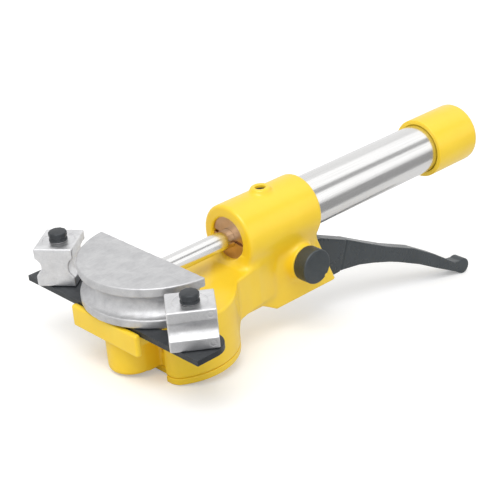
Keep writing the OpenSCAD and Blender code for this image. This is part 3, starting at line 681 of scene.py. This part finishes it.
def cut_away(piece, low, high):
    """Cuts a box between two corners out of a piece."""
    corners = [(x, y, z) for x in (low[0], high[0]) for y in (low[1], high[1]) for z in (low[2], high[2])]
    sides = [(0, 1, 3, 2), (4, 6, 7, 5), (0, 4, 5, 1), (2, 3, 7, 6), (0, 2, 6, 4), (1, 5, 7, 3)]
    bm = bmesh.new()
    vs = [bm.verts.new(p) for p in to_row(corners)]
    for side in sides:
        bm.faces.new([vs[i] for i in side])
    bmesh.ops.remove_doubles(bm, verts=bm.verts, dist=1e-7)
    bmesh.ops.recalc_face_normals(bm, faces=bm.faces)
    mesh = bpy.data.meshes.new("cutter")
    bm.to_mesh(mesh)
    bm.free()
    cutter = put("cutter", mesh)
    knife = piece.modifiers.new("cut", "BOOLEAN")
    knife.object, knife.operation, knife.solver = cutter, "DIFFERENCE", "EXACT"
    bpy.context.view_layer.update()
    shaped = bpy.data.meshes.new_from_object(piece.evaluated_get(bpy.context.evaluated_depsgraph_get()))
    piece.modifiers.clear()
    piece.data = shaped
    bpy.data.objects.remove(cutter)
    shaped.set_sharp_from_angle(angle=math.radians(35))
    print(piece.name, "cut, now", len(shaped.polygons), "faces")


# %% [markdown]
# ## The painted casting
#
# On the real tool this is one iron casting: the housing that holds the barrel, a deck, a foot, a
# spine below the housing with cheeks for the lever, and a slab and nose in front. It could be cut
# from CAD solids, but then its inside corners stay hard. Here each mass is a field. Masses that
# share a flat face are joined with a plain minimum, because a smooth one would bulge there, and the
# groups are welded together with broad fillets.

# %% Masses of the casting: foot, neck and nose
STEP = 1.2
FOOT_FRONT, FOOT_BACK, FOOT_HALF = plate_low[0], plate_high[0], plate_high[1]
FOOT_ROUND = 58.4
FOOT_MID = FOOT_BACK - FOOT_ROUND
RECESS, RECESS_HALF = 8.0, 38.0
NOSE_R = 22.0
SPINE_HALF = 19.0
HOUSING = (80.0, 172.0)
HOUSING_R = 32.0


def foot_shape(x, y, z, ends, soft, corner=4.5):
    """A layer of the foot: round at the sides and behind, straight in front."""
    round_part = np.hypot(x - FOOT_MID, np.maximum(np.abs(y) - (FOOT_HALF - FOOT_ROUND), 0))
    flat = meet(round_part - (FOOT_ROUND - corner), FOOT_FRONT + corner - x) - (corner - soft)
    return meet(flat, within(z, ends, soft)) - soft


grid = lattice((-74, -FOOT_HALF - 3, SOLE - 3), (202, FOOT_HALF + 3, 40), STEP)
X, Y, Z = grid
foot = foot_shape(X, Y, Z, (SEAM, DECK), 1.5)
neck_half = [(FOOT_MID + 16, 45), (FOOT_MID + 42, 41.5), (FOOT_MID + 54, 34.6), (FOOT_MID + 75, 29),
             (FOOT_MID + 88, 26.5), (FOOT_MID + 108, 18)]
neck_outline = [(x, -y) for x, y in neck_half] + [(x, y) for x, y in reversed(neck_half)]
neck = slice_of(neck_outline, X, Y, Z, (DECK - 41, DECK), 2.2)
table = np.maximum(weld(foot, neck, 7.0), Z - DECK)

# The plate in front of the crossbar, the ledge under it, and the round nose
SLAB_FRONT = span("body_casting")[0][0]
plate = block(grid, (SLAB_FRONT, -45.5, DECK - 18), (SLAB_FRONT + 6, 45.5, DECK + 3), 1.7)
ledge = block(grid, (SLAB_FRONT + 1, -41, DECK - 12), (FOOT_FRONT + 6, 41, DECK), 1.2)
nose = bar(X, Y, Z, (PIN[0], 0), NOSE_R, (SEAM, DECK - 3), 4.5)
cheek = block(grid, (PIN[0], -NOSE_R, SEAM), (FOOT_FRONT + 10, NOSE_R, DECK - 3), 2.0)
front = weld(np.minimum(plate, ledge), np.minimum(nose, cheek), 4.0)
recess = block(grid, (FOOT_FRONT - 9, NOSE_R - 8, SOLE),
               (FOOT_FRONT + RECESS, RECESS_HALF, DECK - 20.5), 1.0)
recess = np.minimum(recess, recess[:, ::-1])
table = weld(hollow(table, recess, 1.5), front, 2.5)
del foot, neck, plate, ledge, nose, cheek, front, recess
print("foot, neck and nose:", table.shape)

# %% Housing, knob boss, screw boss and spine
spine_outline = [(FOOT_MID + 40, DECK - 10), (HOUSING[0] + 3, DECK - 10), (HOUSING[0] + 3, -14),
                 (HOUSING[1], -14), (HOUSING[1], -22), (197, SOLE), (118, SOLE), (100, DECK - 48.5),
                 (FOOT_MID + 40, DECK - 48.5)]
spine = slice_of(spine_outline, X, Z, Y, (-SPINE_HALF, SPINE_HALF), 1.6)
housing = bar(Y, Z, X, (0, 0), HOUSING_R, HOUSING, 3.4)
boss = bar(X, Y, Z, (BRAKE_X, 0), 9.5, (10, 36), 1.8)
knob_boss = bar(X, Z, Y, (KNOB[0], KNOB[2]), 17, (-33, 0), 1.0)
housing = weld(housing, boss, 5.0)
housing = weld(housing, weld(spine, knob_boss, 13.0), 10.0)
housing = np.maximum(housing, X - HOUSING[1] - 99 * (Z < -20))
casting = weld(table, housing, 12.0)
in_front = (X > FOOT_BACK) & (Z > DECK + 12)
casting = np.where(in_front, np.maximum(casting, HOUSING[0] - X), casting)
del spine, housing, boss, knob_boss, table
print("casting filled:", round(float((casting < 0).sum() * STEP ** 3 / 1000)), "cubic centimetres")

# %% [markdown]
# The machined openings come next: the bush's seat in the front, the barrel's bore behind, the slot
# for the lever and pawls, and the holes. Cutting them in the same field rounds their rims a little,
# as paint does on a machined edge.

# %% Openings in the casting
SLOT_HALF = 8.4
BUSH_SEAT_R, ROD_WAY_R, BORE_R = 20.5, 9.6, 25.0
BUSH_SEAT_END, BORE_START = 100, 152
GRUB_SCREW, HOLD_PIN = (162, 0), (124, -15.8)
openings = [
    bar(Y, Z, X, (0, 0), BUSH_SEAT_R, (60, BUSH_SEAT_END)),
    bar(Y, Z, X, (0, 0), ROD_WAY_R, (BUSH_SEAT_END - 1, BORE_START + 1)),
    bar(Y, Z, X, (0, 0), BORE_R, (BORE_START, 190)),
    bar(X, Y, Z, (BRAKE_X, 0), 5.0, (0, 50)),
    bar(X, Z, Y, (KNOB[0], KNOB[2]), 6.05, (-60, 60)),
    bar(X, Z, Y, (LEVER_PIN[0], LEVER_PIN[2]), 5.05, (-60, 60)),
    bar(X, Z, Y, GRUB_SCREW, 3.0, (24, 50)),
    bar(X, Z, Y, HOLD_PIN, 3.0, (-19, 40)),
]
for tool in openings:
    casting = hollow(casting, tool, 1.0)
lever_slot = np.minimum(block(grid, (100, -SLOT_HALF, -30), (153, SLOT_HALF, -5)),
                        block(grid, (118, -SLOT_HALF, -50), (153, SLOT_HALF, -5)))
lever_slot = np.minimum(lever_slot, block(grid, (152, -SLOT_HALF, SOLE - 20), (240, SLOT_HALF, -5)))
casting = hollow(casting, lever_slot, 1.2)
for side in (-1, 1):
    drain = bar(Y, Z, X, (side * (NOSE_R + 4), DECK - 35.5), 2.2, (FOOT_FRONT, FOOT_FRONT + 20))
    casting = hollow(casting, drain, 0.5)
make_casting("body_casting_skin", casting, grid, STEP, "frame", yellow)
del casting, lever_slot, openings, tool, drain

# %% The plate that closes the foot, with a dark joint line above it
PLATE_STEP = 0.8
grid = lattice(plate_low - 2, plate_high + 2, PLATE_STEP)
X, Y, Z = grid
plate = foot_shape(X, Y, Z, (SOLE, SEAM - 0.1), 0.8)
plate = hollow(plate, block(grid, (-50, -RECESS_HALF, SOLE - 9), (FOOT_FRONT + RECESS, RECESS_HALF, 0)), 1.0)
for x in (FOOT_FRONT + 15, FOOT_MID + 22):
    for y in (-40, 40):
        plate = hollow(plate, bar(X, Y, Z, (x, y), 5.5, (SOLE - 9, SOLE + 4)), 0.3)
        plate = hollow(plate, bar(X, Y, Z, (x, y), 3.1, (SOLE - 9, SEAM + 9)), 0.3)
make_casting("foot_plate_painted", plate, grid, PLATE_STEP, "frame", yellow)
del plate

# %% [markdown]
# ## Parts that keep the CAD's shape
#
# Flat plates, screws and the bush are right as they are, apart from their knife-sharp edges. For
# these the CAD mesh is copied, its sharp edges are beveled by a few tenths of a millimetre, and the
# copy stands for the node.

# %% Break the edges of a CAD node


def broken_edges(node, name, width, body, finish):
    """A copy of a node with its sharp edges beveled, which stands for it."""
    bm = bmesh.new()
    bm.from_mesh(nodes[node].data)
    bmesh.ops.remove_doubles(bm, verts=bm.verts, dist=1e-6)
    bmesh.ops.dissolve_limit(bm, angle_limit=math.radians(0.5), verts=bm.verts, edges=bm.edges)
    sharp = [e for e in bm.edges if len(e.link_faces) == 2 and e.calc_face_angle() > math.radians(35)]
    bmesh.ops.bevel(bm, geom=sharp, offset=width * MM, segments=2, profile=0.5, affect="EDGES",
                    clamp_overlap=True)
    mesh = bpy.data.meshes.new(name)
    shade(bm, mesh, 50)
    made = link_mesh(name, mesh, body, finish, [node])
    flat = made.modifiers.new("flat_faces", "WEIGHTED_NORMAL")
    flat.keep_sharp = True
    return made


broken_edges("crossbar", "crossbar_blackened", 0.5, "frame", black)
broken_edges("brake_screw", "brake_screw_blackened", 0.3, "frame", black)
broken_edges("front_bush", "front_bush_turned", 0.35, "frame", bronze)
broken_edges("rod_end_nut", "rod_end_nut_blackened", 0.3, "rod", black)

# %% [markdown]
# ## The barrel and its cap
#
# The barrel is a length of polished tube, pressed into the housing. The lever's upper arm works
# through a slot in its underside. The cap is a turned cup with a broad round at its closed end.

# %% Barrel
BARREL_R = barrel_high[1]
BARREL = (barrel_low[0], barrel_high[0])
WALL = 3.0
points, faces = spin([(BARREL[0], BARREL_R, 0.4), (BARREL[1], BARREL_R, 0.4),
                      (BARREL[1], BARREL_R - WALL, 0.4), (BARREL[0], BARREL_R - WALL, 0.4)], 144)
barrel = make_piece("barrel_polished", points, faces, "frame", steel,
                    ["barrel_tube"], sharp=35)
cut_away(barrel, (BARREL[0] - 5, -SLOT_HALF, -40), (FEED_PIN[0] + 11, SLOT_HALF, -5))

# %% End cap
cap_low, cap_high = span("end_cap")
CAP_R = cap_high[1]
points, faces = spin([(cap_low[0], BARREL_R + 0.9, 0.3), (cap_low[0], CAP_R, 1.2),
                      (cap_high[0], CAP_R, 4.5), (cap_high[0], 0, 0), (BARREL[1], 0, 0),
                      (BARREL[1], BARREL_R, 0), (cap_low[0] + 1.2, BARREL_R, 0)], 144)
make_piece("end_cap_painted", points, faces, "frame", yellow, ["end_cap"],
                 sharp=40)

# %% [markdown]
# ## The former
#
# It is a half disc of cast aluminium with the tube's groove round its edge. Its faces are as cast, so
# nothing is quite straight: a slow ripple of a tenth of a millimetre or two in the field makes its
# rims waver as the real ones do.

# %% Former
former_low, former_high = span("bending_former")
FORMER_STEP = 0.7
FLANGE_R = -former_low[0]
grid = lattice(former_low - 2, former_high + 2, FORMER_STEP)
X, Y, Z = grid


def ripple(x, y, z, length, height):
    """A slow uneven swell, from three waves that don't repeat together."""
    k = 2 * math.pi / length
    return height * (np.sin(k * x + 1.3 * np.sin(0.6 * k * y)) * np.cos(0.8 * k * y + 0.5)
                     + 0.6 * np.sin(1.7 * k * y + 0.9 * k * z + 2.0) * np.cos(1.3 * k * x))


former = bar(X, Y, Z, (0, 0), FLANGE_R, (former_low[2], former_high[2]), 0.9)
former = hollow(former, -7.3 - X + 0 * Y, 1.0)
ring = np.hypot(np.hypot(X, Y) - BEND_RADIUS, Z) - 11.2
former = hollow(former, ring, 0.9)
former = hollow(former, bar(Y, Z, X, (0, 0), 9.05, (-41, 5)), 0.8)
former = former + ripple(X, Y, Z, 17, 0.10)
make_casting("bending_former_cast", former, grid, FORMER_STEP, "rod", former_metal)
del former, ring

# %% [markdown]
# ## The side formers
#
# These are die-cast blocks, turning on their pins. The inner face carries the tube's groove and the
# outer face a smaller one for thinner tube. The die leaves two round ejector marks on the outer
# face. One block is built in its own axes, and then set on each side, mirrored on the right.

# %% Side former in its own axes
side_low, side_high = span("side_former_left")
SIDE_STEP = 0.55
SIDE_LEN, SIDE_DEEP, SIDE_H = 42.0, 36.0, side_high[2] - side_low[2]
SIDE_Z = side_low[2]
SIDE_TURN = math.atan2(0.6056, 0.7957)
GROOVE_OFF = SIDE_DEEP / 2 + 11.2 - 5.1
OUTER_OFF = SIDE_DEEP / 2 + 9.2 - 5.4
grid = lattice((-SIDE_LEN / 2 - 2, -SIDE_DEEP / 2 - 2, SIDE_Z - 2),
               (SIDE_LEN / 2 + 2, SIDE_DEEP / 2 + 2, SIDE_Z + SIDE_H + 2), SIDE_STEP)
X, Y, Z = grid
cheek = block(grid, (-SIDE_LEN / 2, -SIDE_DEEP / 2, SIDE_Z),
              (SIDE_LEN / 2, SIDE_DEEP / 2, SIDE_Z + SIDE_H), 1.1)
cheek = hollow(cheek, np.hypot(Y + GROOVE_OFF, Z) - 11.2 + 0 * X, 0.8)
cheek = hollow(cheek, np.hypot(Y - OUTER_OFF, Z) - 9.2 + 0 * X, 0.9)
cheek = hollow(cheek, bar(X, Y, Z, (0, 0), 6.1, (SIDE_Z - 9, SIDE_Z + 60)), 0.5)
cheek = hollow(cheek, bar(X, Y, Z, (0, 0), 15.0, (SIDE_Z + SIDE_H - 1.0, SIDE_Z + 60)), 0.3)
EJECTOR_DEPTH = 0.36
for height in (-13.4, 13.4):
    spot = np.hypot(X - 15.5, Z - height) - 2.6
    rim = np.clip(1 - np.abs(spot) / 0.6, 0, 1) * (Y > SIDE_DEEP / 2 - 3)
    cheek = cheek + EJECTOR_DEPTH * rim
cheek = cheek + ripple(X, Y, Z, 13, 0.06)
side_points, side_faces = surface(cheek, grid, SIDE_STEP)
del cheek


# %% Set the side formers on their pins
def set_on_pin(points, mirrored):
    c, s = math.cos(SIDE_TURN), math.sin(SIDE_TURN)
    x, y, z = points.T
    p = np.stack([PIN[0] + c * x - s * y, PIN[1] + s * x + c * y, z], 1)
    return p * (1, -1, 1) if mirrored else p


make_piece("side_former_left_cast", set_on_pin(side_points, False), side_faces, "side_former_left",
           side_metal, ["side_former_left"], tidy=False)
make_piece("side_former_right_cast", set_on_pin(side_points, True), side_faces[:, ::-1],
           "side_former_right", side_metal, ["side_former_right"], tidy=False)

# %% [markdown]
# ## The pins
#
# A pin is pulled up by its head, so the head is scalloped for the fingers and blackened. The collar
# below it is left bright. The lower end has a chamfer and a groove for its rubber ring.

# %% Pins
PIN_R, HEAD_R = 6.0, 8.5
HEAD_Z = pin_high[2] - 8.9


def finger_scallops(x, r, turns):
    """Shallow hollows round the head only."""
    return -0.35 * (0.5 - 0.5 * np.cos(10 * turns)) * (r > HEAD_R - 1.2) * (x > HEAD_Z + 3)


pin_profile = [
    (pin_low[2], 0, 0), (pin_low[2], PIN_R - 1, 0.3), (pin_low[2] + 1, PIN_R, 0.3),
    (pin_low[2] + 1.6, PIN_R, 0.2), (pin_low[2] + 1.6, PIN_R - 1, 0.2),
    (pin_low[2] + 3.0, PIN_R - 1, 0.2), (pin_low[2] + 3.0, PIN_R, 0.2),
    (HEAD_Z, PIN_R, 0.1), (HEAD_Z, HEAD_R, 0.4), (HEAD_Z + 2, HEAD_R, 0.5),
    (HEAD_Z + 2, HEAD_R - 1, 0.3), (HEAD_Z + 3.5, HEAD_R - 1, 0.3), (HEAD_Z + 3.5, HEAD_R - 0.5, 0.5),
    (HEAD_Z + 5.0, HEAD_R, 0.5), (HEAD_Z + 8.9, HEAD_R, 1.3), (HEAD_Z + 8.9, 0, 0),
]
pin_points, pin_faces = spin(pin_profile, 80, finger_scallops)
for side, sign in (("left", 1), ("right", -1)):
    pin = make_piece(f"pin_{side}_turned", stand_up(pin_points, PIN[0], sign * PIN[1]), pin_faces,
                     f"pin_{side}", black, [f"pin_{side}"], sharp=40)
    pin.data.materials.append(bright)
    for face in pin.data.polygons:
        height = np.mean([(TOOL.inverted() @ pin.data.vertices[v].co).z for v in face.vertices]) / MM
        face.material_index = int(height < HEAD_Z + 0.6)

# %% [markdown]
# ## The lever
#
# The lever is a steel blade with a round end. It is drawn from the side as an outline, and its field
# has the blade's thickness and softly rounded edges. A crease across each side marks where the grip
# part was joined to the hub.

# %% Lever
LEVER_STEP = 0.75
lever_low, lever_high = span("lever")
LEVER_HALF = lever_high[1]
LX, LZ = LEVER_PIN[0], LEVER_PIN[2]
TIP = (lever_high[0] - 8.5, lever_low[2] + 8.5)
TIP_R = 8.5
grid = lattice(lever_low - 2, lever_high + 2, LEVER_STEP)
X, Y, Z = grid
sn, cs = math.sin(math.radians(37)) * (TIP_R - 0.7), math.cos(math.radians(37)) * (TIP_R - 0.7)
blade_outline = [
    (LX - 9, LZ + 10), (LX + 8, LZ + 24), (194, -42), (231, -58.5), (258, -73), (286, -87.5),
    (325, -105), (356, -124), (388, -146.5), (TIP[0] + sn, TIP[1] + cs), (TIP[0] - sn, TIP[1] - cs),
    (359, -142), (331, -126), (300, -111), (286, -105), (262, -96.5), (242, -90.5), (218, -86.5),
    (206, -87), (LX + 12, LZ - 14), (LX - 4, LZ - 12)]
arm = np.array([FEED_PIN[0] - LX, FEED_PIN[2] - LZ])
arm_long = np.linalg.norm(arm)
arm_way = arm / arm_long
arm_side = np.array([arm_way[1], -arm_way[0]])
hub = np.array([LX, LZ])


def on_arm(across_arm, up_arm):
    """A point measured from the lever's pin, along its upper arm."""
    return tuple(hub + arm_side * across_arm + arm_way * up_arm)


EDGE = 1.3
arm_outline = [on_arm(-6, 0), on_arm(6, 0), on_arm(6, arm_long), on_arm(-6, arm_long)]
flat = outline_field(shrink(blade_outline, EDGE), X, Z)
flat = weld(flat, np.hypot(X - TIP[0], Z - TIP[1]) - (TIP_R - EDGE), 2.0)
flat = weld(flat, np.hypot(X - LX, Z - LZ) - (13 - EDGE), 5.0)
flat = weld(flat, outline_field(shrink(arm_outline, EDGE), X, Z), 5.0)
flat = np.minimum(flat, np.hypot(X - FEED_PIN[0], Z - FEED_PIN[2]) - (6.5 - EDGE))
lever = meet(flat, within(Y, (-LEVER_HALF, LEVER_HALF), EDGE)) - EDGE
fork = slice_of([on_arm(-20, 27), on_arm(20, 27), on_arm(20, 60), on_arm(-20, 60)], X, Z, Y, (-3.7, 3.7))
room = np.minimum(bar(X, Z, Y, (LX, LZ), 10.5, (-3.7, 3.7)),
                  block(grid, (LX - 20, -3.7, LZ - 9.9), (LX, 3.7, LZ)))
lever = hollow(hollow(lever, fork, 0.6), room, 0.6)
lever = hollow(lever, bar(X, Z, Y, (LX, LZ), 5.1, (-20, 20)), 0.4)
lever = hollow(lever, bar(X, Z, Y, (FEED_PIN[0], FEED_PIN[2]), 3.0, (-20, 20)), 0.4)
# The crease, deepest at its line and shallow away from it
crease_from, crease_to = np.array([225.3, -57.0]), np.array([214.6, -88.5])
way = (crease_to - crease_from) / np.linalg.norm(crease_to - crease_from)
off_line = np.abs((X - crease_from[0]) * way[1] - (Z - crease_from[1]) * way[0])
crease = np.clip(1 - off_line / 1.3, 0, 1) * np.clip((np.abs(Y) - LEVER_HALF + 3) / 2, 0, 1)
lever = lever + 0.9 * crease
make_casting("lever_enamelled", lever, grid, LEVER_STEP, "lever", enamel)
del lever, flat, fork, room, crease

# %% [markdown]
# ## The release knob
#
# A plain blackened disc with a flat face, a narrow chamfer whose paler colour is rubbed metal and a
# painted highlight, and a small notch that shows which way it stands. The screw that holds it on its
# shaft goes in from below.

# %% Release knob
KNOB_STEP = 0.5
grid = lattice(knob_low - 2, knob_high + 2, KNOB_STEP)
X, Y, Z = grid
KX, KZ, KNOB_R = KNOB[0], KNOB[2], 17.0
knob = bar(X, Z, Y, (KX, KZ), KNOB_R, (knob_low[1], knob_high[1]), 1.4)
knob = hollow(knob, bar(X, Z, Y, (KX, KZ), 6.05, (knob_low[1] + 2.3, 0)), 0.4)
turn = math.radians(40)
notch = bar(X, Z, Y, (KX + KNOB_R * math.sin(turn), KZ - KNOB_R * math.cos(turn)), 1.8,
            (knob_low[1] - 5, knob_low[1] + 6))
knob = hollow(knob, notch, 0.5)
knob = hollow(knob, bar(X, Y, Z, (KX, -39), 2.5, (KZ - 30, KZ)), 0.4)
make_casting("release_knob_blackened", knob, grid, KNOB_STEP, "knob", knob_black)
del knob, notch

# %% [markdown]
# ## The parts inside
#
# Screws, springs, pawls and pins keep their exact CAD shapes, because they are mostly out of sight.
# They still show when the tool moves or is turned over, so each one gets a real finish.

# %% Finishes of the parts that keep their CAD shape
inner = {
    steel: ["push_rod"],
    bright: ["crossbar_screws", "crossbar_dowels", "lever_pin", "feed_pawl_pin",
             "hold_pawl_pin", "cam_shaft"],
    black: ["foot_plate_screws", "barrel_grub_screw", "lever_pin_circlips", "feed_pawl", "hold_pawl",
            "knob_grub_screw", "cam_shaft_circlip"],
    spring: ["brake_spring", "lever_spring", "feed_pawl_spring", "hold_pawl_spring"],
    bronze: ["brake_pad", "rod_guide_ring"],
    rubber: ["rod_wiper", "former_retaining_ring", "pin_ring_left", "pin_ring_right"],
}
for finish, names in inner.items():
    for name in names:
        nodes[name].data.materials.clear()
        nodes[name].data.materials.append(finish)
print("CAD shapes kept:", sum(len(names) for names in inner.values()))

# %% [markdown]
# ## Stage and light
#
# The tool stands on a plain white floor. One broad lamp high on the left gives a soft shadow, and a
# white world fills the rest. Polished metal only looks like metal when it has something to reflect,
# so long cards hang beside the tool. They are seen in reflections only.

# %% Floor
floor_mesh = bpy.data.meshes.new("floor")
floor_mesh.from_pydata([(-6, -6, 0), (6, -6, 0), (6, 6, 0), (-6, 6, 0)], [], [(0, 1, 2, 3)])
floor = put("floor", floor_mesh)
paper = bpy.data.materials.new("floor_paper")
paper.use_nodes = True
tree = paper.node_tree
tree.nodes.clear()
matte = add(tree, "BsdfDiffuse", {"Color": (0.8, 0.8, 0.8, 1)})
seen = add(tree, "LightPath").outputs["Is Camera Ray"]
glow = add(tree, "Emission", {"Color": (1, 1, 1, 1), "Strength": sum_of(tree, "MULTIPLY", seen, 0.3)})
both = add(tree, "AddShader", {0: matte.outputs[0], 1: glow.outputs[0]})
tree.links.new(both.outputs[0], add(tree, "OutputMaterial").inputs["Surface"])
floor_mesh.materials.append(paper)

# %% World and lamp
WORLD_FILL = 0.72
world = bpy.data.worlds.new("studio")
bpy.context.scene.world = world
world.use_nodes = True
tree = world.node_tree
tree.nodes.clear()
path = add(tree, "LightPath")
shown = sum_of(tree, "MAXIMUM", path.outputs["Is Camera Ray"],
               sum_of(tree, "MAXIMUM", path.outputs["Is Glossy Ray"], path.outputs["Is Transmission Ray"]))
strength = sum_of(tree, "MULTIPLY_ADD", shown, 1 - WORLD_FILL, WORLD_FILL)
sky = add(tree, "Background", {"Color": (1, 1, 1, 1), "Strength": strength})
tree.links.new(sky.outputs[0], add(tree, "OutputWorld").inputs["Surface"])

lamp = put("lamp", bpy.data.lights.new("lamp", "SUN"))
lamp.data.energy = 1.5
lamp.data.angle = math.radians(38)
towards_lamp = Vector((-0.55, -0.35, 0.9))
lamp.rotation_mode = "QUATERNION"
lamp.rotation_quaternion = towards_lamp.to_track_quat("Z", "Y")
print("lamp shines from", [round(v, 2) for v in towards_lamp.normalized()])

# %% Cards beside the tool


def card(name, low_angle, high_angle, radius, ends, glow):
    """A long strip parallel to the rod, between two angles round it, seen only in reflections."""
    steps = 6
    points = []
    for t in np.linspace(math.radians(low_angle), math.radians(high_angle), steps):
        for x in ends:
            points.append((x, radius * math.cos(t), radius * math.sin(t)))
    faces = [(2 * i, 2 * i + 1, 2 * i + 3, 2 * i + 2) for i in range(steps - 1)]
    mesh = bpy.data.meshes.new(name)
    mesh.from_pydata(to_row(points).tolist(), [], faces)
    made = put(name, mesh)
    for sight in ("camera", "diffuse", "shadow", "transmission", "volume_scatter"):
        setattr(made, "visible_" + sight, False)
    lit = bpy.data.materials.new(name)
    lit.use_nodes = True
    lit.node_tree.nodes.clear()
    shine = add(lit.node_tree, "Emission", {"Color": (glow, glow, glow, 1), "Strength": 1.0})
    lit.node_tree.links.new(shine.outputs[0], add(lit.node_tree, "OutputMaterial").inputs["Surface"])
    mesh.materials.append(lit)


FAR = (-1500.0, 3500.0)
card("card_upper_white", 67, 117, 1500, FAR, 1.35)
card("card_upper_grey", 119, 138, 1500, FAR, 0.5)
card("card_front_white", 140, 172, 1500, FAR, 1.35)
card("card_front_dark", 180, 221, 140, (150.0, 700.0), 0.4)
card("card_beside_dark", 180, 232, 150, (-120.0, 30.0), 0.5)
